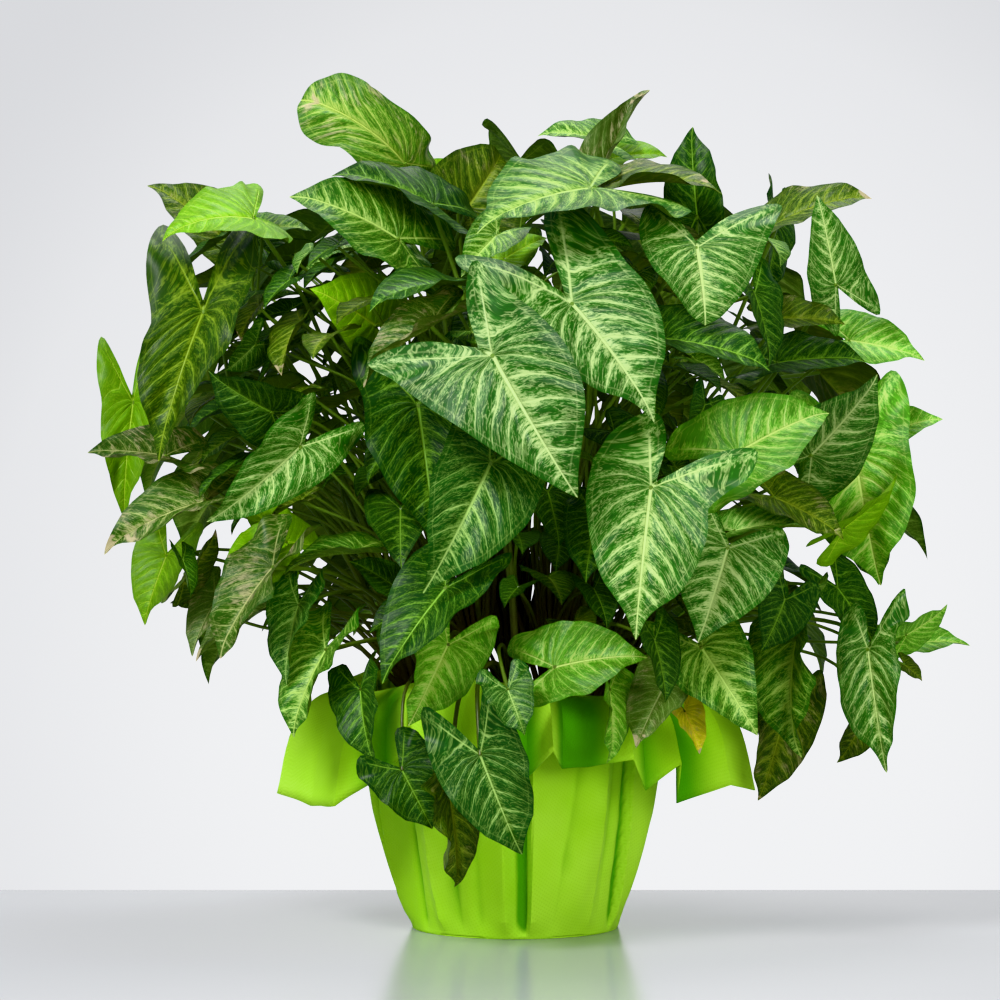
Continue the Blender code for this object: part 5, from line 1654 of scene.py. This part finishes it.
def cloth_column(azimuth):
    """Points of the cloth's middle surface at one azimuth and how deep each lies in a fold, which sets its
    painted shade.
    """
    angle = math.radians(azimuth)
    fine = rings_at(angle)
    radial = Vector((math.cos(angle), math.sin(angle), 0.0))
    column = []
    for i, (r, z) in enumerate(fine):
        share = i / (len(fine) - 1)
        part = min(1.0, max(0.0, (share - FACETS_FROM) / (1.0 - FACETS_FROM)))
        spot = turned(angle, (r, z))
        if part:
            spot = spot.lerp(facet(azimuth, i, part), min(1.0, 4.0 * part))
        on_wall = min(1.0, max(0.0, (z - BASE_FOLD_Z) / BASE_FOLD_RISE)) if r > POT_BASE_R else 0.0
        on_wall *= max(0.0, 1.0 - 2.2 * part)
        push = pressed_in(angle, z) * on_wall
        push += WALL_SWELL * on_wall * noise.noise(Vector((angle * 5.0, z * 22.0, 3.0)))
        push += WRINKLE * noise.noise(spot * 90.0) * min(1.0, on_wall + part)
        spot -= radial * push
        spot.z += EDGE_WAVE * noise.noise(Vector((angle * 9.0, share * 6.0, 9.0))) * part
        # Nothing is pressed into the pot
        if i > 2 and z < POT_RIM_Z and part == 0.0:
            at_lip = z > POT_RIM_Z - POT_LIP_HEIGHT - 4 * MM
            least = pot_radius(max(z, POT_FLOOR_Z)) + FABRIC * 0.75 + (POT_LIP if at_lip else 0.0)
            flat = math.hypot(spot.x, spot.y)
            if flat < least:
                spot.x *= least / flat
                spot.y *= least / flat
        # How deep the point lies in a fold or crease: the material paints shade there
        column.append((spot, max(0.0, push) / PUSH_FULL_SHADE + shade_of(azimuth) * min(1.0, 2.5 * part)))
    return column


print(len(creases), "creases in the collar")

# %% Build the wrap
CLOTH_THICK = 0.7 * MM
CLOTH_SHARP = 15.0               # degrees, so that the facets of the collar are flat


def turned_faces(turns, count, last=None):
    """Faces that join columns of points round the axis: point 0 is their common start, last their end."""
    faces = []
    for i in range(turns):
        here, there = 1 + i * count, 1 + (i + 1) % turns * count
        faces.append((0, there, here))
        if last is not None:
            faces.append((last, here + count - 1, there + count - 1))
        faces += [(here + k, there + k, there + k + 1, here + k + 1) for k in range(count - 1)]
    return faces


def build_wrap():
    columns = [cloth_column(i * step) for i in range(TURNS)]
    count = len(columns[0]) - 1
    points = [columns[0][0][0]]
    cloth = [(0.0, 0.0, 0.0)]
    folds = [0.0]
    for i, column in enumerate(columns):
        turn = math.tau * i / TURNS
        run = 0.0
        for k in range(1, len(column)):
            run += (column[k][0] - column[k - 1][0]).length
            points.append(column[k][0])
            folds.append(column[k][1])
            cloth.append((run * math.cos(turn), run * math.sin(turn), k / count))
    mesh = new_mesh("cloth_wrap", points, turned_faces(TURNS, count))
    places = mesh.attributes.new("cloth", "FLOAT_VECTOR", "POINT")
    places.data.foreach_set("vector", [value for place in cloth for value in place])
    # The depth in a fold or crease, which the material turns into painted shade
    mesh.attributes.new("fold", "FLOAT", "POINT").data.foreach_set("value", folds)
    mesh.shade_smooth()
    mesh.set_sharp_from_angle(angle=math.radians(CLOTH_SHARP))
    piece = new_object("cloth_wrap", mesh)
    area = sum(p.area for p in mesh.polygons)
    thick = piece.modifiers.new("cloth", "SOLIDIFY")
    thick.thickness = CLOTH_THICK
    thick.offset = 0.0
    longest = max(math.hypot(p[0], p[1]) for p in cloth)
    print("wrap", len(points), "points, cloth area", round(area, 4), "m2, longest run", round(longest, 3))
    return piece


wrap = build_wrap()

# %% The cloth's finish: pressed dots, loose fibres, a faint sheen, and painted shade, a deep green, where it lies deep in a fold
DOTS = 2600.0                    # radians of the pressed pattern to a metre of cloth
wrap_paint, tree, shader = new_material(
    "lime_cloth", 0.72, Sheen_Weight=0.03, Sheen_Roughness=0.5, Specular_IOR_Level=0.15,
)
spot = attribute(tree, "cloth").outputs["Vector"]
x, y, share = separate(tree, spot)
dots = ((x * DOTS).math("SINE") * (y * DOTS).math("SINE")).step(0.1, 0.9)
fibres = cloud(tree, spot, 900.0, 4.0, 0.7, 1.5)
folds = cloud(tree, object_place(tree), 14.0, 3.0, 0.6)
# How deep the cloth lies in a fold or crease, for the painted shade below
deep = Field(tree, attribute(tree, "fold").outputs["Fac"])
lime = mix(tree, folds.step(0.3, 0.7), seen(152, 214, 46), seen(174, 228, 74))
lime = mix(tree, fibres.step(0.45, 0.7) * 0.25, lime, seen(188, 232, 104))
lime = mix(tree, dots * 0.20, lime, seen(122, 194, 30))
# Painted shade: a deep green in folds and creases
lime = mix(tree, deep.step(0.10, 0.9) * 0.85, lime, seen(28, 138, 6))
tree.links.new(lime, shader.inputs["Base Color"])
bump(tree, shader, fibres * 0.6 - dots * 0.8, 0.15 * MM, 0.6)
wrap.data.materials.append(wrap_paint)
print("cloth material", len(tree.nodes), "nodes")
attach(wrap, "root")
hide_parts("pot_wrap")

# %% [markdown]
# ## Pot and soil
# The nursery pot is plain black plastic, turned about its axis with a rolled rim, and almost all of it is
# out of sight. The potting mix shows between the stems from above: a rough surface with loose crumbs, which
# Geometry Nodes scatter over it from one seed.

# %% The pot, turned
POT_TURNS = 96
POT_SHARP = 40.0


def build_pot():
    floor = POT_FLOOR_Z + POT_WALL
    lip_z = POT_RIM_Z - POT_LIP_HEIGHT
    inside = pot_radius(floor) - POT_WALL
    profile = [
        # radius and height, from the middle of the base up the outside and down to the floor inside
        (POT_BASE_R, POT_FLOOR_Z), (POT_BASE_R + 0.4 * MM, POT_FLOOR_Z + 2 * MM),
        (pot_radius(lip_z) + 0.1 * MM, lip_z - 0.6 * MM),
        (POT_TOP_R + POT_LIP - 0.5 * MM, lip_z - 0.3 * MM), (POT_TOP_R + POT_LIP, lip_z),
        (POT_TOP_R + POT_LIP, POT_RIM_Z - 0.8 * MM), (POT_TOP_R + POT_LIP - 0.8 * MM, POT_RIM_Z),
        (POT_TOP_R - 0.7 * POT_WALL, POT_RIM_Z), (POT_TOP_R - POT_WALL, POT_RIM_Z - 1 * MM),
        (inside, floor + 2 * MM), (inside - 2 * MM, floor),
    ]
    points = [(0.0, 0.0, POT_FLOOR_Z)]
    for i in range(POT_TURNS):
        points += [turned(math.tau * i / POT_TURNS, ring) for ring in profile]
    points.append((0.0, 0.0, floor))
    mesh = new_mesh("plastic_pot", points, turned_faces(POT_TURNS, len(profile), len(points) - 1))
    mesh.materials.append(pot_paint)
    mesh.shade_smooth()
    mesh.set_sharp_from_angle(angle=math.radians(POT_SHARP))
    piece = new_object("plastic_pot", mesh)
    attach(piece, "root")
    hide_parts("nursery_pot")
    print("pot", len(mesh.polygons), "faces")


build_pot()

# %% The soil's surface and its crumbs
SOIL_RINGS = 30
SOIL_TURNS = 72
SOIL_BUMPS = ((1.6, 45.0), (0.8, 160.0), (0.4, 420.0))   # height in mm, and bumps a metre
SOIL_STEPS = 4                   # rows of faces up the side
CRUMBS_SEED = 11
CRUMBS = 90000.0                 # a square metre
CRUMB_SIZES = (0.5 * MM, 1.7 * MM)


def build_soil_base():
    wall = POT_WALL + 2 * CLEAR
    foot = POT_FLOOR_Z + POT_WALL + CLEAR
    points = [(0.0, 0.0, foot)]
    for i in range(SOIL_TURNS):
        angle = math.tau * i / SOIL_TURNS
        turn = Vector((math.cos(angle), math.sin(angle), 0.0))
        for k in range(SOIL_STEPS):
            z = foot + (SOIL_TOP_Z - foot) * k / SOIL_STEPS
            points.append(tuple(turn * (pot_radius(z) - wall) + Vector((0.0, 0.0, z))))
        for k in range(SOIL_RINGS):
            r = (pot_radius(SOIL_TOP_Z) - wall) * (1.0 - k / SOIL_RINGS)
            spot = turn * r
            rough = sum(height * noise.noise(spot * scale) for height, scale in SOIL_BUMPS)
            points.append(tuple(spot + Vector((0.0, 0.0, SOIL_TOP_Z + rough * MM * min(1.0, k / 2)))))
    points.append((0.0, 0.0, SOIL_TOP_Z))
    faces = turned_faces(SOIL_TURNS, SOIL_STEPS + SOIL_RINGS, len(points) - 1)
    return new_object("soil_base", new_mesh("soil_base", points, faces))


def crumb_tree():
    tree, given, result = new_group(
        "GeometryNodeTree", "crumbs",
        [
            ("Geometry", "Geometry"), ("Crumbs Per Area", "Float"), ("Smallest", "Float"),
            ("Largest", "Float"), ("Above", "Float"), ("Seed", "Int"), ("Finish", "Material"),
        ],
        [("Geometry", "Geometry")],
    )
    add = tree.nodes.new
    where, parts = add("GeometryNodeInputPosition"), add("ShaderNodeSeparateXYZ")
    over, scatter = add("FunctionNodeCompare"), add("GeometryNodeDistributePointsOnFaces")
    ball, place = add("GeometryNodeMeshIcoSphere"), add("GeometryNodeInstanceOnPoints")
    turn, size = add("FunctionNodeRandomValue"), add("FunctionNodeRandomValue")
    join, real = add("GeometryNodeJoinGeometry"), add("GeometryNodeRealizeInstances")
    paint = add("GeometryNodeSetMaterial")
    over.data_type = "FLOAT"
    over.operation = "GREATER_THAN"
    turn.data_type = "FLOAT_VECTOR"
    size.data_type = "FLOAT_VECTOR"
    turn.inputs["Max"].default_value = (math.tau, math.tau, math.tau)
    ball.inputs["Radius"].default_value = 1.0
    ball.inputs["Subdivisions"].default_value = 1
    low, high = add("ShaderNodeCombineXYZ"), add("ShaderNodeCombineXYZ")
    for socket in low.inputs:
        tree.links.new(given.outputs["Smallest"], socket)
    for socket in high.inputs:
        tree.links.new(given.outputs["Largest"], socket)
    for source, target in (
        (where.outputs[0], parts.inputs[0]), (parts.outputs[2], over.inputs[0]),
        (given.outputs["Above"], over.inputs[1]),
        (given.outputs["Geometry"], scatter.inputs["Mesh"]), (over.outputs[0], scatter.inputs["Selection"]),
        (given.outputs["Crumbs Per Area"], scatter.inputs["Density"]),
        (given.outputs["Seed"], scatter.inputs["Seed"]),
        (scatter.outputs["Points"], place.inputs["Points"]), (ball.outputs[0], place.inputs["Instance"]),
        (given.outputs["Seed"], turn.inputs["Seed"]), (turn.outputs[0], place.inputs["Rotation"]),
        (low.outputs[0], size.inputs["Min"]), (high.outputs[0], size.inputs["Max"]),
        (size.outputs[0], place.inputs["Scale"]),
        (given.outputs["Geometry"], join.inputs[0]), (place.outputs[0], join.inputs[0]),
        (join.outputs[0], real.inputs[0]), (real.outputs[0], paint.inputs[0]),
        (given.outputs["Finish"], paint.inputs["Material"]), (paint.outputs[0], result.inputs[0]),
    ):
        tree.links.new(source, target)
    return tree


soil = run_nodes(build_soil_base(), crumb_tree(), "potting_mix", {
    "Crumbs Per Area": CRUMBS, "Smallest": CRUMB_SIZES[0], "Largest": CRUMB_SIZES[1],
    "Above": SOIL_TOP_Z - 3 * MM, "Seed": CRUMBS_SEED, "Finish": soil_paint,
})
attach(soil, "root")
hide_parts("potting_soil")
print("soil", len(soil.data.polygons), "faces")

# %% [markdown]
# ## The fine model's box
# The fine model must stay in the box of the solids, apart from a little cloth and leaf edge. Here the box
# of everything that is drawn, table and wall aside, is found.

# %% The box of what is drawn
low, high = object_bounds()
